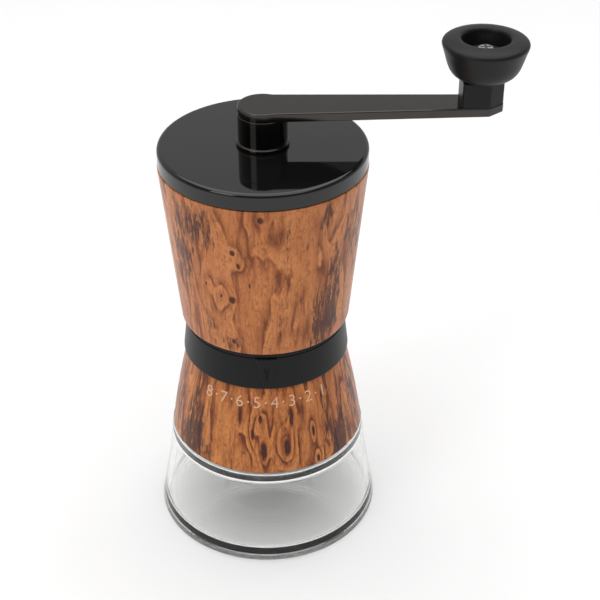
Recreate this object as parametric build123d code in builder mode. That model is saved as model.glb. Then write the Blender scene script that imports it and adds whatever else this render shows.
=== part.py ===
from build123d import *

# Hand coffee grinder with conical burrs, in millimetres.
# Z is the shaft axis, pointing up. The origin is the centre of the jar's base, on the table.
# The crank points along +X and the dial faces -Y.

import os
from math import asin, cos, degrees, radians, sin

os.makedirs("parts", exist_ok=True)

# ---------------------------------------------------------------- driving dimensions
# Clearances
GAP = 0.3                   # between pieces that move past each other
RUN = 0.05                  # radial, shaft in bush
FIT = 0.15                  # radial, fixed piece in its seat
SLIDE = 0.2                 # radial, burr carrier in the core tube

# Burrs and the tube round them, from the inside out
BURR_R = 23.0               # outer burr, outside radius
BURR_H = 16.5
CARRIER_WALL = 2.6
TUBE_WALL = 2.6
RING_WALL = 4.1             # adjusting ring, at its top
RING_FLARE = 1.9            # how much wider the ring is at its bottom
RING_H = 16.3
GRIND_GAP = 0.4             # between the burrs at rest
GRIND_TRAVEL = 0.5          # carrier travel each way
RING_TURN = 40.0            # degrees each way

# Outer shells
SHELL_WALL = 2.2
UPPER_PROUD = 1.9           # upper shell's bottom radius beyond the ring's top
UPPER_H = 69.9
UPPER_FLARE = 6.9
LOWER_INSET = 1.2           # lower shell's top radius less the ring's bottom
LOWER_H = 39.0
LOWER_FLARE = 7.5
LOWER_BULGE = 0.5           # how far the lower shell swells beyond a straight cone
SHELL_EDGE = 1.8            # rounding of the upper shell's bottom edge

# Jar
JAR_H = 43.4                # base to shoulder
JAR_WALL = 2.7
JAR_BASE = 4.0
JAR_FLARE = 6.7             # foot radius less shoulder radius
JAR_WAIST = 0.5             # how far the wall curves in from a straight cone
JAR_PROUD = 0.4             # shoulder radius beyond the lower shell
JAR_HEEL = 3.0              # rounding of the foot
NECK_H = 11.1
NECK_WALL = 3.0
GASKET_T = 1.2
THREAD_PITCH = 5.0
THREAD_TURNS = 1.25
THREAD_DEPTH = 1.1
THREAD_W = 1.8              # ridge width at its root
SOCKET_WALL = 1.8           # at its thin upper end

# Lid, crank and knob
LID_H = 7.0
LID_INSET = 0.2             # lid radius less than the upper shell's
LID_EDGE = 1.7              # rounding of its top edge
LID_PLUG_H = 7.3
HUB_R = 9.7
HUB_FLANGE_R = 10.4
HUB_FLANGE_H = 1.3
HUB_H = 12.95               # lid's top to the arm's underside
STEM_R = 8.0                # part of the hub that passes through the lid
ARM_T = 3.6
ARM_LEN = 84.0
ARM_W_HUB = 8.9             # half width beside the hub
ARM_W_END = 6.5             # half width at the knob
ARM_TIP = 8.3               # from the knob's axis to the arm's end
BLOCK_H = 10.05
KNOB_R = 16.6
KNOB_FOOT_R = 8.6
KNOB_H = 16.0
KNOB_WELL_R = 9.0
KNOB_WELL_DEPTH = 7.2
SCREW_HEAD_R = 3.8
PIVOT_R = 2.0               # screw the knob turns on
PIVOT_BORE_R = 2.35

# Shaft
SHAFT_R = 4.0
HEX_AF = 6.6                # across the flats of the driving end
BUSH_WALL = 1.95
HOPPER_WALL = 2.0

# ---------------------------------------------------------------- places worked out from them
carrier_r = BURR_R + CARRIER_WALL
tube_in = carrier_r + SLIDE
tube_r = tube_in + TUBE_WALL
ring_in = tube_r + GAP
ring_top_r = ring_in + RING_WALL
ring_low_r = ring_top_r + RING_FLARE
upper_low_r = ring_top_r + UPPER_PROUD
upper_top_r = upper_low_r + UPPER_FLARE
lower_top_r = ring_low_r - LOWER_INSET
lower_low_r = lower_top_r + LOWER_FLARE
shoulder_r = lower_low_r + JAR_PROUD
foot_r = shoulder_r + JAR_FLARE
lid_r = upper_top_r - LID_INSET

z_shell = JAR_H + GAP
z_neck = JAR_H + NECK_H
z_gasket = z_neck + GASKET_T
z_core = z_gasket + GAP
z_web = z_shell + LOWER_H
z_ring = z_web + GAP
z_ring_top = z_ring + RING_H
z_upper = z_ring_top + GAP
z_upper_top = z_upper + UPPER_H
z_lid = z_upper_top + GAP
z_lid_top = z_lid + LID_H
z_flange = z_lid_top + GAP
z_arm = z_lid_top + HUB_H
z_arm_top = z_arm + ARM_T
z_block_top = z_arm_top + BLOCK_H
z_knob = z_block_top + GAP
z_knob_top = z_knob + KNOB_H


def between(low, high, z):
    """Radius at height z on the straight line between two (radius, z) points."""
    share = (z - low[1]) / (high[1] - low[1])
    return low[0] + (high[0] - low[0]) * share


def upper_inside(z):
    """Largest radius that fits inside the upper shell at height z."""
    low = (upper_low_r - SHELL_WALL - FIT, z_upper)
    return between(low, (upper_top_r - SHELL_WALL - FIT, z_upper_top), z)


def lower_inside(z):
    """Largest radius that fits inside the lower shell at height z."""
    low = (lower_low_r - SHELL_WALL - FIT, z_shell)
    return between(low, (lower_top_r - SHELL_WALL - FIT, z_web), z)


def outline(points, rounds=()):
    """Closed (radius, z) outline on the XZ plane; rounds pairs corners with radii."""
    with BuildSketch(Plane.XZ) as section:
        with BuildLine():
            Polyline(*points, close=True)
        make_face()
        for corner, radius in rounds:
            fillet(section.vertices().sort_by_distance((corner[0], corner[1], 0))[0], radius)
    return section.sketch


def ring_outline(inner, outer, bottom, top):
    """Rectangular (radius, z) outline of a plain ring."""
    return outline([(inner, bottom), (outer, bottom), (outer, top), (inner, top)])


def finish(piece, label):
    """Name a finished piece and write it to its own file."""
    piece.part.label = label
    export_step(piece.part, f"parts/{label}.step")


# ---------------------------------------------------------------- glass jar
neck_r = lower_inside(z_core) - SOCKET_WALL - GAP - THREAD_DEPTH
bore_r = neck_r + THREAD_DEPTH + GAP


def thread_ridge(radius, depth, bottom):
    """Helical ridge at a radius, rising from height bottom; depth is negative on a nut."""
    root = radius - 0.4 * depth / abs(depth)
    with BuildLine() as spiral:
        Helix(THREAD_PITCH, THREAD_PITCH * THREAD_TURNS, radius, center=(0, 0, bottom))
    path = spiral.wires()[0]
    start = Plane(origin=path @ 0, x_dir=(1, 0, 0), z_dir=path % 0)
    with BuildPart() as ridge:
        with BuildSketch(start):
            with BuildLine():
                tip = radius + depth
                Polyline(
                    (root - radius, -THREAD_W / 2),
                    (tip - radius, -THREAD_W / 3),
                    (tip - radius, THREAD_W / 3),
                    (root - radius, THREAD_W / 2),
                    close=True,
                )
            make_face()
        sweep(path=path, is_frenet=True)
    return ridge.part


thread_z = JAR_H + 2.8


def jar_wall(z):
    """Jar's outside radius at height z, below the shoulder."""
    share = z / JAR_H
    return between((foot_r, 0), (shoulder_r, JAR_H), z) - 4 * JAR_WAIST * share * (1 - share)


with BuildPart() as glass_jar:
    cavity_low = (jar_wall(JAR_BASE) - JAR_WALL, JAR_BASE)
    cavity_high = (jar_wall(JAR_H - 2 * JAR_WALL) - JAR_WALL, JAR_H - 2 * JAR_WALL)
    cavity_mid = (jar_wall((JAR_BASE + cavity_high[1]) / 2) - JAR_WALL, (JAR_BASE + cavity_high[1]) / 2)
    neck_in = neck_r - NECK_WALL
    with BuildSketch(Plane.XZ) as jar_section:
        with BuildLine():
            Line((0, 0), (foot_r, 0))
            ThreePointArc((foot_r, 0), (jar_wall(JAR_H / 2), JAR_H / 2), (shoulder_r, JAR_H))
            Polyline(
                (shoulder_r, JAR_H),
                (neck_r, JAR_H),
                (neck_r, z_neck),
                (neck_in, z_neck),
                (neck_in, JAR_H - JAR_WALL),
                cavity_high,
            )
            ThreePointArc(cavity_high, cavity_mid, cavity_low)
            Polyline(cavity_low, (0, JAR_BASE), (0, 0))
        make_face()
        rounds = [
            ((foot_r, 0), JAR_HEEL),
            ((shoulder_r, JAR_H), 0.8),
            ((neck_r, z_neck), 0.8),
            ((neck_in, z_neck), 0.8),
            ((neck_in, JAR_H - JAR_WALL), 1.5),
            (cavity_high, 1.8),
            (cavity_low, 3.0),
        ]
        for corner, radius in rounds:
            fillet(jar_section.vertices().sort_by_distance((*corner, 0))[0], radius)
    revolve(axis=Axis.Z)
    add(thread_ridge(neck_r, THREAD_DEPTH, thread_z))
finish(glass_jar, "glass_jar")

with BuildPart() as jar_gasket:
    revolve(ring_outline(neck_in + 0.2, neck_r, z_neck, z_gasket), axis=Axis.Z)
finish(jar_gasket, "jar_gasket")

# ---------------------------------------------------------------- lower shell and jar socket
with BuildPart() as lower_shell:
    middle = (z_shell + z_web) / 2
    mid_r = (lower_low_r + lower_top_r) / 2 + LOWER_BULGE
    with BuildSketch(Plane.XZ) as shell_section:
        with BuildLine():
            ThreePointArc((lower_low_r, z_shell), (mid_r, middle), (lower_top_r, z_web))
            Line((lower_top_r, z_web), (lower_top_r - SHELL_WALL, z_web))
            ThreePointArc(
                (lower_top_r - SHELL_WALL, z_web),
                (mid_r - SHELL_WALL, middle),
                (lower_low_r - SHELL_WALL, z_shell),
            )
            Line((lower_low_r - SHELL_WALL, z_shell), (lower_low_r, z_shell))
        make_face()
        outer = [(lower_low_r, z_shell, 0), (lower_top_r, z_web, 0)]
        for corner in outer:
            fillet(shell_section.vertices().sort_by_distance(corner)[0], 0.6)
    revolve(axis=Axis.Z)
finish(lower_shell, "lower_shell")

with BuildPart() as jar_socket:
    socket_z = z_shell + 0.3
    revolve(
        outline(
            [
                (bore_r, socket_z),
                (lower_inside(socket_z), socket_z),
                (lower_inside(z_core), z_core),
                (bore_r, z_core),
            ]
        ),
        axis=Axis.Z,
    )
    nut_ridge = thread_ridge(bore_r, -THREAD_DEPTH, thread_z)
    add(nut_ridge.rotate(Axis.Z, 180))
finish(jar_socket, "jar_socket")

# ---------------------------------------------------------------- core tube
LIP_H = 3.5
SPIDER_H = 4.0
LIP_R = tube_in - 3.3
FLANGE_T = 3.0
PIN_R = 2.0
PIN_STAND = 2.0             # how far a cam pin stands into the ring
z_lip = z_core + SPIDER_H
z_pin = z_ring + 6.5
slot_half = PIN_R + GAP

with BuildPart() as core_tube:
    revolve(
        outline(
            [
                (tube_in, z_core),
                (lower_inside(z_core), z_core),
                (lower_inside(z_core + FLANGE_T), z_core + FLANGE_T),
                (tube_r, z_core + FLANGE_T),
                (tube_r, z_web - FLANGE_T),
                (lower_inside(z_web - FLANGE_T), z_web - FLANGE_T),
                (lower_inside(z_web), z_web),
                (tube_r, z_web),
                (tube_r, z_upper),
                (tube_in, z_upper),
                (tube_in, z_lip + LIP_H),
                (LIP_R, z_lip + LIP_H),
                (LIP_R, z_lip),
                (tube_in, z_lip),
            ]
        ),
        axis=Axis.Z,
    )
    # Six ribs between the two flanges
    rib_low = z_core + FLANGE_T
    rib_high = z_web - FLANGE_T
    with BuildSketch(Plane.XZ) as rib_section:
        with BuildLine():
            Polyline(
                (tube_r - 1, rib_low),
                (lower_inside(rib_low) - 0.5, rib_low),
                (lower_inside(rib_high) - 0.5, rib_high),
                (tube_r - 1, rib_high),
                close=True,
            )
        make_face()
    rib = extrude(rib_section.sketch, amount=1.0, both=True, mode=Mode.PRIVATE)
    with PolarLocations(0, 6, start_angle=30):
        add(rib)
    # Slots that keep the carrier from turning, open at the top for assembly
    with BuildSketch(Plane.XY.offset(z_pin - GRIND_TRAVEL - slot_half)):
        with PolarLocations(tube_r - TUBE_WALL / 2, 3, start_angle=90):
            Rectangle(3 * TUBE_WALL, 2 * slot_half)
    extrude(amount=z_upper - z_pin + GRIND_TRAVEL + slot_half, mode=Mode.SUBTRACT)
    # Screw holes in the lip
    with Locations((0, 0, z_lip)):
        with PolarLocations((LIP_R + tube_in) / 2, 3, start_angle=30):
            Cylinder(1.25, 4 * LIP_H, mode=Mode.SUBTRACT)
finish(core_tube, "core_tube")

# ---------------------------------------------------------------- adjusting ring
GROOVE_DEPTH = PIN_STAND + GAP
POINTER_H = 12.0
POINTER_TOP_W = 8.4
POINTER_LOW_W = 3.0
POINTER_RELIEF = 0.4
ring_points = [
    (ring_in, z_ring),
    (ring_low_r, z_ring),
    (ring_top_r, z_ring_top),
    (ring_in, z_ring_top),
]
groove_r = ring_in + GROOVE_DEPTH
cam_slope = degrees(asin(GRIND_TRAVEL / (ring_in * sin(radians(RING_TURN)))))
entry_turn = RING_TURN + 10
groove_span = RING_TURN + degrees(asin(slot_half / ring_in)) + 1

with BuildPart() as cam_groove:
    # A sector of the ring's bore, cut to a ramp by two tilted planes
    with BuildSketch(Plane.XY.offset(z_ring)):
        with BuildLine():
            CenterArc((0, 0), groove_r, -groove_span, groove_span + entry_turn)
            CenterArc((0, 0), ring_in - 1, -groove_span, groove_span + entry_turn)
            for turn in (-groove_span, entry_turn):
                along = Vector(cos(radians(turn)), sin(radians(turn)))
                Line(along * (ring_in - 1), along * groove_r)
        make_face()
    extrude(amount=RING_H)
    tilt = (0, -sin(radians(cam_slope)), cos(radians(cam_slope)))
    low_side = Plane(origin=(ring_in, 0, z_pin - slot_half), z_dir=tilt)
    high_side = Plane(origin=(ring_in, 0, z_pin + slot_half), z_dir=tilt)
    split(bisect_by=low_side, keep=Keep.TOP)
    split(bisect_by=high_side, keep=Keep.BOTTOM)

with BuildPart() as pointer:
    # Raised tapered pointer with a fine V cut in it
    skin = [(r + POINTER_RELIEF, z) if r > ring_in else (r, z) for r, z in ring_points]
    pointer_z = (z_ring + z_ring_top) / 2
    with BuildSketch(Plane.XZ):
        with BuildLine():
            Polyline(
                (-POINTER_LOW_W / 2, pointer_z - POINTER_H / 2),
                (POINTER_LOW_W / 2, pointer_z - POINTER_H / 2),
                (POINTER_TOP_W / 2, pointer_z + POINTER_H / 2),
                (-POINTER_TOP_W / 2, pointer_z + POINTER_H / 2),
                close=True,
            )
        make_face()
    extrude(amount=ring_low_r + 5)
    revolve(outline(skin), axis=Axis.Z, mode=Mode.INTERSECT)
    with BuildSketch(Plane.XZ):
        with BuildLine():
            v_low = pointer_z - POINTER_H / 2 + 1.6
            v_high = v_low + 6.4
            Polyline(
                (0, v_low),
                (1.3, v_high),
                (0.7, v_high),
                (0, v_low + 2.6),
                (-0.7, v_high),
                (-1.3, v_high),
                close=True,
            )
        make_face()
    extrude(amount=ring_low_r + 5, mode=Mode.SUBTRACT)

with BuildPart() as adjusting_ring:
    revolve(
        outline(ring_points, [(ring_points[1], 0.6), (ring_points[2], 0.6)]), axis=Axis.Z
    )
    add(pointer.part)
    for turn in (90, 210, 330):
        add(cam_groove.part.rotate(Axis.Z, turn), mode=Mode.SUBTRACT)
    # Channels that let the pins into the grooves from below
    with BuildSketch(Plane.XY.offset(z_ring)):
        with PolarLocations(ring_in, 3, start_angle=90 + entry_turn - 6):
            Rectangle(2 * GROOVE_DEPTH, 2 * slot_half)
    extrude(amount=z_pin - z_ring, mode=Mode.SUBTRACT)
finish(adjusting_ring, "adjusting_ring")

# ---------------------------------------------------------------- burr carrier and outer burr
LEDGE_T = 2.0
CLIP_T = 1.2
z_burr = z_pin - PIN_R - 0.5 - CLIP_T - BURR_H
z_carrier = z_burr - LEDGE_T
z_carrier_top = z_pin + PIN_R + 0.8
burr_seat = BURR_R + RUN

with BuildPart() as burr_carrier:
    revolve(
        outline(
            [
                (BURR_R - 2, z_carrier),
                (carrier_r, z_carrier),
                (carrier_r, z_carrier_top),
                (burr_seat, z_carrier_top),
                (burr_seat, z_burr + BURR_H + CLIP_T),
                (burr_seat + 1, z_burr + BURR_H + CLIP_T),
                (burr_seat + 1, z_burr + BURR_H),
                (burr_seat, z_burr + BURR_H),
                (burr_seat, z_burr),
                (BURR_R - 2, z_burr),
            ]
        ),
        axis=Axis.Z,
    )
    with Locations((0, 0, z_pin)):
        with PolarLocations(BURR_R - 1, 3, start_angle=90):
            Cylinder(
                PIN_R + 0.02,
                2 * CARRIER_WALL + 1,
                rotation=(0, 90, 0),
                align=(Align.CENTER, Align.CENTER, Align.MIN),
                mode=Mode.SUBTRACT,
            )
finish(burr_carrier, "burr_carrier")

with BuildPart() as cam_pins:
    with Locations((0, 0, z_pin)):
        with PolarLocations(burr_seat + 0.3, 3, start_angle=90):
            Cylinder(
                PIN_R,
                ring_in + PIN_STAND - burr_seat - 0.3,
                rotation=(0, 90, 0),
                align=(Align.CENTER, Align.CENTER, Align.MIN),
            )
finish(cam_pins, "cam_pins")

with BuildPart() as burr_clip:
    clip_z = z_burr + BURR_H
    revolve(ring_outline(BURR_R - 1.5, burr_seat + 0.8, clip_z + 0.05, clip_z + CLIP_T - 0.05), axis=Axis.Z)
    with Locations((BURR_R, 0, clip_z)):
        Box(6, 5, 4 * CLIP_T, mode=Mode.SUBTRACT)
finish(burr_clip, "burr_clip")

BAND_H = 6.5                # height of the fine grinding band
band_low = BURR_R - 3.4
band_high = band_low - 1.4
with BuildPart() as outer_burr:
    z_top = z_burr + BURR_H
    revolve(
        outline(
            [
                (band_low, z_burr),
                (BURR_R, z_burr),
                (BURR_R, z_top),
                (band_low + 1.2, z_top),
                (band_high, z_burr + BAND_H),
            ]
        ),
        axis=Axis.Z,
    )
    # Feed flutes that run down from the top, slanted
    with BuildSketch(Plane.XY.offset(z_top)):
        with PolarLocations(band_low, 9):
            Rectangle(2.4, 2.6)
    extrude(amount=-(BURR_H - BAND_H), mode=Mode.SUBTRACT)
    with BuildSketch(Plane.XY.offset(z_top)):
        with PolarLocations(band_high + 0.5, 36):
            Rectangle(1.3, 0.9)
    extrude(amount=-BURR_H, mode=Mode.SUBTRACT)
finish(outer_burr, "outer_burr")

# ---------------------------------------------------------------- shaft group
NUT_H = 4.0
WASHER_T = 1.0
THRUST_T = 0.8
BUSH_FLANGE_T = 1.0
END_R = 3.0                 # shaft radius below the inner burr
SPIDER_HUB_R = END_R + RUN + BUSH_WALL + 2.5
spider_top = z_lip + 3.0
z_thrust = spider_top + BUSH_FLANGE_T + GAP
z_nut = z_thrust + THRUST_T
z_washer = z_nut + NUT_H
z_inner = z_washer + WASHER_T
inner_low = between((band_low, z_burr), (band_high, z_burr + BAND_H), z_inner) - GRIND_GAP
inner_high = band_high - GRIND_GAP
inner_top = z_burr + BURR_H + 2.0
z_hex = z_upper_top - 11.5
z_shaft_top = z_lid_top - 1.0
z_shaft = z_core - 2.6

with BuildPart() as drive_shaft:
    revolve(
        outline(
            [
                (0, z_shaft),
                (END_R, z_shaft),
                (END_R, z_inner),
                (SHAFT_R, z_inner),
                (SHAFT_R, z_hex),
                (0, z_hex),
            ],
            [((END_R, z_shaft), 0.5)],
        ),
        axis=Axis.Z,
    )
    with BuildSketch(Plane.XY.offset(z_hex)):
        RegularPolygon(HEX_AF / 2, 6, major_radius=False)
    extrude(amount=z_shaft_top - z_hex)
    chamfer(faces().sort_by(Axis.Z)[-1].edges(), 0.6)
    # Groove for the clip under the lower bush
    clip_top = z_core + 1.0 - GAP
    revolve(ring_outline(END_R - 0.5, END_R + 1, clip_top - 1.0, clip_top), axis=Axis.Z, mode=Mode.SUBTRACT)
finish(drive_shaft, "drive_shaft")

with BuildPart() as shaft_clip:
    revolve(ring_outline(END_R - 0.45, END_R + 2, clip_top - 0.9, clip_top - 0.1), axis=Axis.Z)
    with Locations((END_R + 1, 0, clip_top)):
        Box(4, 3.2, 4, mode=Mode.SUBTRACT)
finish(shaft_clip, "shaft_clip")

with BuildPart() as thrust_washer:
    revolve(ring_outline(END_R + RUN, END_R + BUSH_WALL + 1.5, z_thrust, z_nut), axis=Axis.Z)
finish(thrust_washer, "thrust_washer")

with BuildPart() as burr_nut:
    with BuildSketch(Plane.XY.offset(z_nut)):
        RegularPolygon(5.0, 6, major_radius=False)
        Circle(END_R + RUN, mode=Mode.SUBTRACT)
    extrude(amount=NUT_H)
finish(burr_nut, "burr_nut")

with BuildPart() as burr_washer:
    revolve(ring_outline(END_R + RUN, 7.5, z_washer, z_inner), axis=Axis.Z)
finish(burr_washer, "burr_washer")

with BuildPart() as inner_burr:
    core_r = SHAFT_R + 0.03
    revolve(
        outline(
            [
                (core_r, z_inner),
                (inner_low, z_inner),
                (inner_high, z_burr + BAND_H),
                (core_r + 4.5, inner_top),
                (core_r, inner_top),
            ]
        ),
        axis=Axis.Z,
    )
    # Fine slanted teeth round the grinding band
    tooth = Box(1.0, 0.9, 3 * BAND_H, rotation=(16, 0, 0), mode=Mode.PRIVATE)
    with Locations((0, 0, z_inner + BAND_H / 2)):
        with PolarLocations(inner_low + 0.25, 40):
            add(tooth, mode=Mode.SUBTRACT)
    # Deep feed flutes on the cone
    flute = Box(7, 2.6, BURR_H, rotation=(24, -34, 0), mode=Mode.PRIVATE)
    with Locations((0, 0, z_burr + BAND_H + BURR_H / 2)):
        with PolarLocations(inner_high - 3.2, 7):
            add(flute, mode=Mode.SUBTRACT)
finish(inner_burr, "inner_burr")

# ---------------------------------------------------------------- lower spider and its bush
with BuildPart() as lower_spider:
    revolve(ring_outline(LIP_R, tube_in - FIT, z_core + 1.0, z_lip), axis=Axis.Z)
    with BuildSketch(Plane.XY.offset(z_core + 1.0)):
        Circle(SPIDER_HUB_R)
        with PolarLocations(LIP_R / 2 + 0.5, 3, start_angle=30):
            Rectangle(LIP_R, 6)
    extrude(amount=z_lip - z_core - 1.0)
    with BuildSketch(Plane.XY.offset(z_core + 1.0)):
        Circle(SPIDER_HUB_R)
    extrude(amount=spider_top - z_core - 1.0)
    with Locations((0, 0, z_core)):
        Cylinder(END_R + RUN + BUSH_WALL, 60, mode=Mode.SUBTRACT)
        with PolarLocations((LIP_R + tube_in) / 2, 3, start_angle=30):
            Cylinder(1.4, 60, mode=Mode.SUBTRACT)
finish(lower_spider, "lower_spider")

with BuildPart() as lower_bush:
    bush_r = END_R + RUN + BUSH_WALL
    revolve(ring_outline(END_R + RUN, bush_r, z_core + 1.0, spider_top), axis=Axis.Z)
    revolve(
        ring_outline(END_R + RUN, bush_r + 1.5, spider_top, spider_top + BUSH_FLANGE_T), axis=Axis.Z
    )
finish(lower_bush, "lower_bush")

with BuildPart() as spider_screws:
    screw_z = z_core + 1.0
    with Locations((0, 0, screw_z)):
        with PolarLocations((LIP_R + tube_in) / 2, 3, start_angle=30):
            Cylinder(1.2, SPIDER_H + 1.5, align=(Align.CENTER, Align.CENTER, Align.MIN))
            Cylinder(1.55, 1.2, align=(Align.CENTER, Align.CENTER, Align.MAX))
finish(spider_screws, "spider_screws")

# ---------------------------------------------------------------- hopper and upper shell
SPIGOT_H = 2.0
FUNNEL_LOW = 8.0            # funnel's foot above the hopper's flange
FUNNEL_H = 24.0
spigot_r = tube_in - FIT
throat_r = spigot_r - 2.2
z_foot = z_upper + FUNNEL_LOW
z_brim = z_foot + FUNNEL_H
z_rim = z_upper_top - 0.3

with BuildPart() as hopper:
    brim_in = upper_inside(z_brim) - HOPPER_WALL
    revolve(
        outline(
            [
                (throat_r, z_upper - SPIGOT_H),
                (spigot_r, z_upper - SPIGOT_H),
                (spigot_r, z_upper),
                (upper_inside(z_upper), z_upper),
                (upper_inside(z_upper + 2.5), z_upper + 2.5),
                (throat_r + HOPPER_WALL, z_upper + 2.5),
                (throat_r + HOPPER_WALL, z_foot - 0.6),
                (upper_inside(z_brim), z_brim - 0.6),
                (upper_inside(z_rim), z_rim),
                (upper_inside(z_rim) - HOPPER_WALL, z_rim),
                (brim_in, z_brim),
                (throat_r, z_foot),
            ],
            [((brim_in, z_brim), 6.0)],
        ),
        axis=Axis.Z,
    )
finish(hopper, "hopper")

with BuildPart() as upper_shell:
    revolve(
        outline(
            [
                (upper_low_r - SHELL_WALL, z_upper),
                (upper_low_r, z_upper),
                (upper_top_r, z_upper_top),
                (upper_top_r - SHELL_WALL, z_upper_top),
            ],
            [((upper_low_r, z_upper), SHELL_EDGE), ((upper_top_r, z_upper_top), 0.5)],
        ),
        axis=Axis.Z,
    )
finish(upper_shell, "upper_shell")

# ---------------------------------------------------------------- shaft bridge and its bush
BRIDGE_H = 7.0
z_bridge = z_brim + 5.0


def hopper_inside(z):
    """Hopper's inner radius at height z above its brim."""
    return between((brim_in, z_brim), (upper_inside(z_rim) - HOPPER_WALL, z_rim), z)


with BuildPart() as shaft_bridge:
    low_r = hopper_inside(z_bridge) - FIT
    high_r = hopper_inside(z_bridge + BRIDGE_H) - FIT
    upper_bush_r = SHAFT_R + RUN + BUSH_WALL
    revolve(
        outline(
            [
                (low_r - 2, z_bridge),
                (low_r, z_bridge),
                (high_r, z_bridge + BRIDGE_H),
                (low_r - 2, z_bridge + BRIDGE_H),
            ]
        ),
        axis=Axis.Z,
    )
    with BuildSketch(Plane.XY.offset(z_bridge)):
        with PolarLocations(low_r / 2, 3, start_angle=90):
            Rectangle(low_r - 1.5, 5)
    extrude(amount=BRIDGE_H - 1.5)
    with BuildSketch(Plane.XY.offset(z_bridge - 2)):
        Circle(upper_bush_r + 2.6)
    extrude(amount=BRIDGE_H + 3)
    with Locations((0, 0, z_bridge)):
        Cylinder(upper_bush_r, 60, mode=Mode.SUBTRACT)
finish(shaft_bridge, "shaft_bridge")

with BuildPart() as upper_bush:
    bush_top = z_bridge + BRIDGE_H + 1
    revolve(ring_outline(SHAFT_R + RUN, upper_bush_r, z_bridge - 2, bush_top), axis=Axis.Z)
    revolve(ring_outline(SHAFT_R + RUN, upper_bush_r + 1.4, bush_top, bush_top + 1), axis=Axis.Z)
finish(upper_bush, "upper_bush")

# ---------------------------------------------------------------- burr spring
WIRE_R = 0.55
spring_low = z_carrier_top + WIRE_R + 0.05
spring_high = z_upper - SPIGOT_H - WIRE_R - 0.05
spring_r = (throat_r + carrier_r) / 2 - 0.1
with BuildPart() as burr_spring:
    with BuildLine() as coil:
        Helix((spring_high - spring_low) / 2, spring_high - spring_low, spring_r, center=(0, 0, spring_low))
    with BuildSketch(Plane(origin=coil.line @ 0, z_dir=coil.line % 0)):
        Circle(WIRE_R)
    sweep(path=coil.line, is_frenet=True)
finish(burr_spring, "burr_spring")

# ---------------------------------------------------------------- lid
plug_r = hopper_inside(z_lid - LID_PLUG_H) - 0.9
SEAL_H = 2.0
LID_BOSS_R = 12.5
z_plug = z_lid - LID_PLUG_H
z_seal = z_plug + 3.0
boss_low = z_lid - 2.6
bush_out = STEM_R + RUN + 1.6

with BuildPart() as lid:
    roof = z_lid_top - 3.0
    revolve(
        outline(
            [
                (bush_out, boss_low),
                (LID_BOSS_R, boss_low),
                (LID_BOSS_R, roof),
                (plug_r - 2.2, roof),
                (plug_r - 2.2, z_plug),
                (plug_r, z_plug),
                (plug_r, z_seal),
                (plug_r - 0.8, z_seal),
                (plug_r - 0.8, z_seal + SEAL_H),
                (plug_r, z_seal + SEAL_H),
                (plug_r, z_lid),
                (lid_r, z_lid),
                (lid_r, z_lid_top),
                (bush_out, z_lid_top),
            ],
            [((lid_r, z_lid_top), LID_EDGE), ((lid_r, z_lid), 0.5)],
        ),
        axis=Axis.Z,
    )
finish(lid, "lid")

with BuildPart() as lid_seal:
    revolve(
        outline(
            [
                (plug_r - 0.75, z_seal + 0.05),
                (plug_r + 0.1, z_seal + 0.05),
                (plug_r + 0.5, z_seal + SEAL_H / 2),
                (plug_r + 0.1, z_seal + SEAL_H - 0.05),
                (plug_r - 0.75, z_seal + SEAL_H - 0.05),
            ]
        ),
        axis=Axis.Z,
    )
finish(lid_seal, "lid_seal")

with BuildPart() as lid_bush:
    revolve(ring_outline(STEM_R + RUN, bush_out - 0.02, boss_low, z_lid_top - 0.3), axis=Axis.Z)
    revolve(ring_outline(STEM_R + RUN, LID_BOSS_R, boss_low - 1.2, boss_low), axis=Axis.Z)
finish(lid_bush, "lid_bush")

# ---------------------------------------------------------------- crank hub and what it holds
SOCKET_R = 6.2
WEB_T = 9.0                 # solid end of the hub, under the arm
SCREW_R = 2.45
hub_clip_top = boss_low - 1.2 - GAP
z_stem = hub_clip_top - 3.4
socket_top = z_shaft_top + 0.8
screw_seat = z_arm - WEB_T

with BuildPart() as crank_hub:
    revolve(
        outline(
            [
                (SOCKET_R, z_stem),
                (STEM_R, z_stem),
                (STEM_R, hub_clip_top - 1.2),
                (STEM_R - 0.8, hub_clip_top - 1.2),
                (STEM_R - 0.8, hub_clip_top),
                (STEM_R, hub_clip_top),
                (STEM_R, z_flange),
                (HUB_FLANGE_R, z_flange),
                (HUB_FLANGE_R, z_flange + HUB_FLANGE_H),
                (HUB_R, z_flange + HUB_FLANGE_H),
                (HUB_R, z_arm),
                (SCREW_R + 0.1, z_arm),
                (SCREW_R + 0.1, screw_seat),
                (SOCKET_R, screw_seat),
            ],
            [((HUB_FLANGE_R, z_flange + HUB_FLANGE_H), 0.5)],
        ),
        axis=Axis.Z,
    )
finish(crank_hub, "crank_hub")

with BuildPart() as drive_socket:
    with BuildSketch(Plane.XY.offset(z_stem + 0.5)):
        Circle(SOCKET_R - 0.02)
        RegularPolygon(HEX_AF / 2 + GAP, 6, major_radius=False, mode=Mode.SUBTRACT)
    extrude(amount=socket_top - z_stem - 0.5)
finish(drive_socket, "drive_socket")

with BuildPart() as hub_screw:
    revolve(ring_outline(0, SCREW_R, screw_seat, z_arm + ARM_T - 1.0), axis=Axis.Z)
    revolve(ring_outline(0, 4.4, screw_seat - 2.4, screw_seat), axis=Axis.Z)
    with BuildSketch(Plane.XY.offset(screw_seat - 2.4)):
        RegularPolygon(1.8, 6, major_radius=False)
    extrude(amount=1.6, mode=Mode.SUBTRACT)
finish(hub_screw, "hub_screw")

with BuildPart() as hub_clip:
    revolve(
        ring_outline(STEM_R - 0.75, STEM_R + 2.4, hub_clip_top - 1.1, hub_clip_top - 0.1), axis=Axis.Z
    )
    with Locations((-STEM_R - 1, 0, hub_clip_top)):
        Box(6, 6, 6, mode=Mode.SUBTRACT)
finish(hub_clip, "hub_clip")

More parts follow.
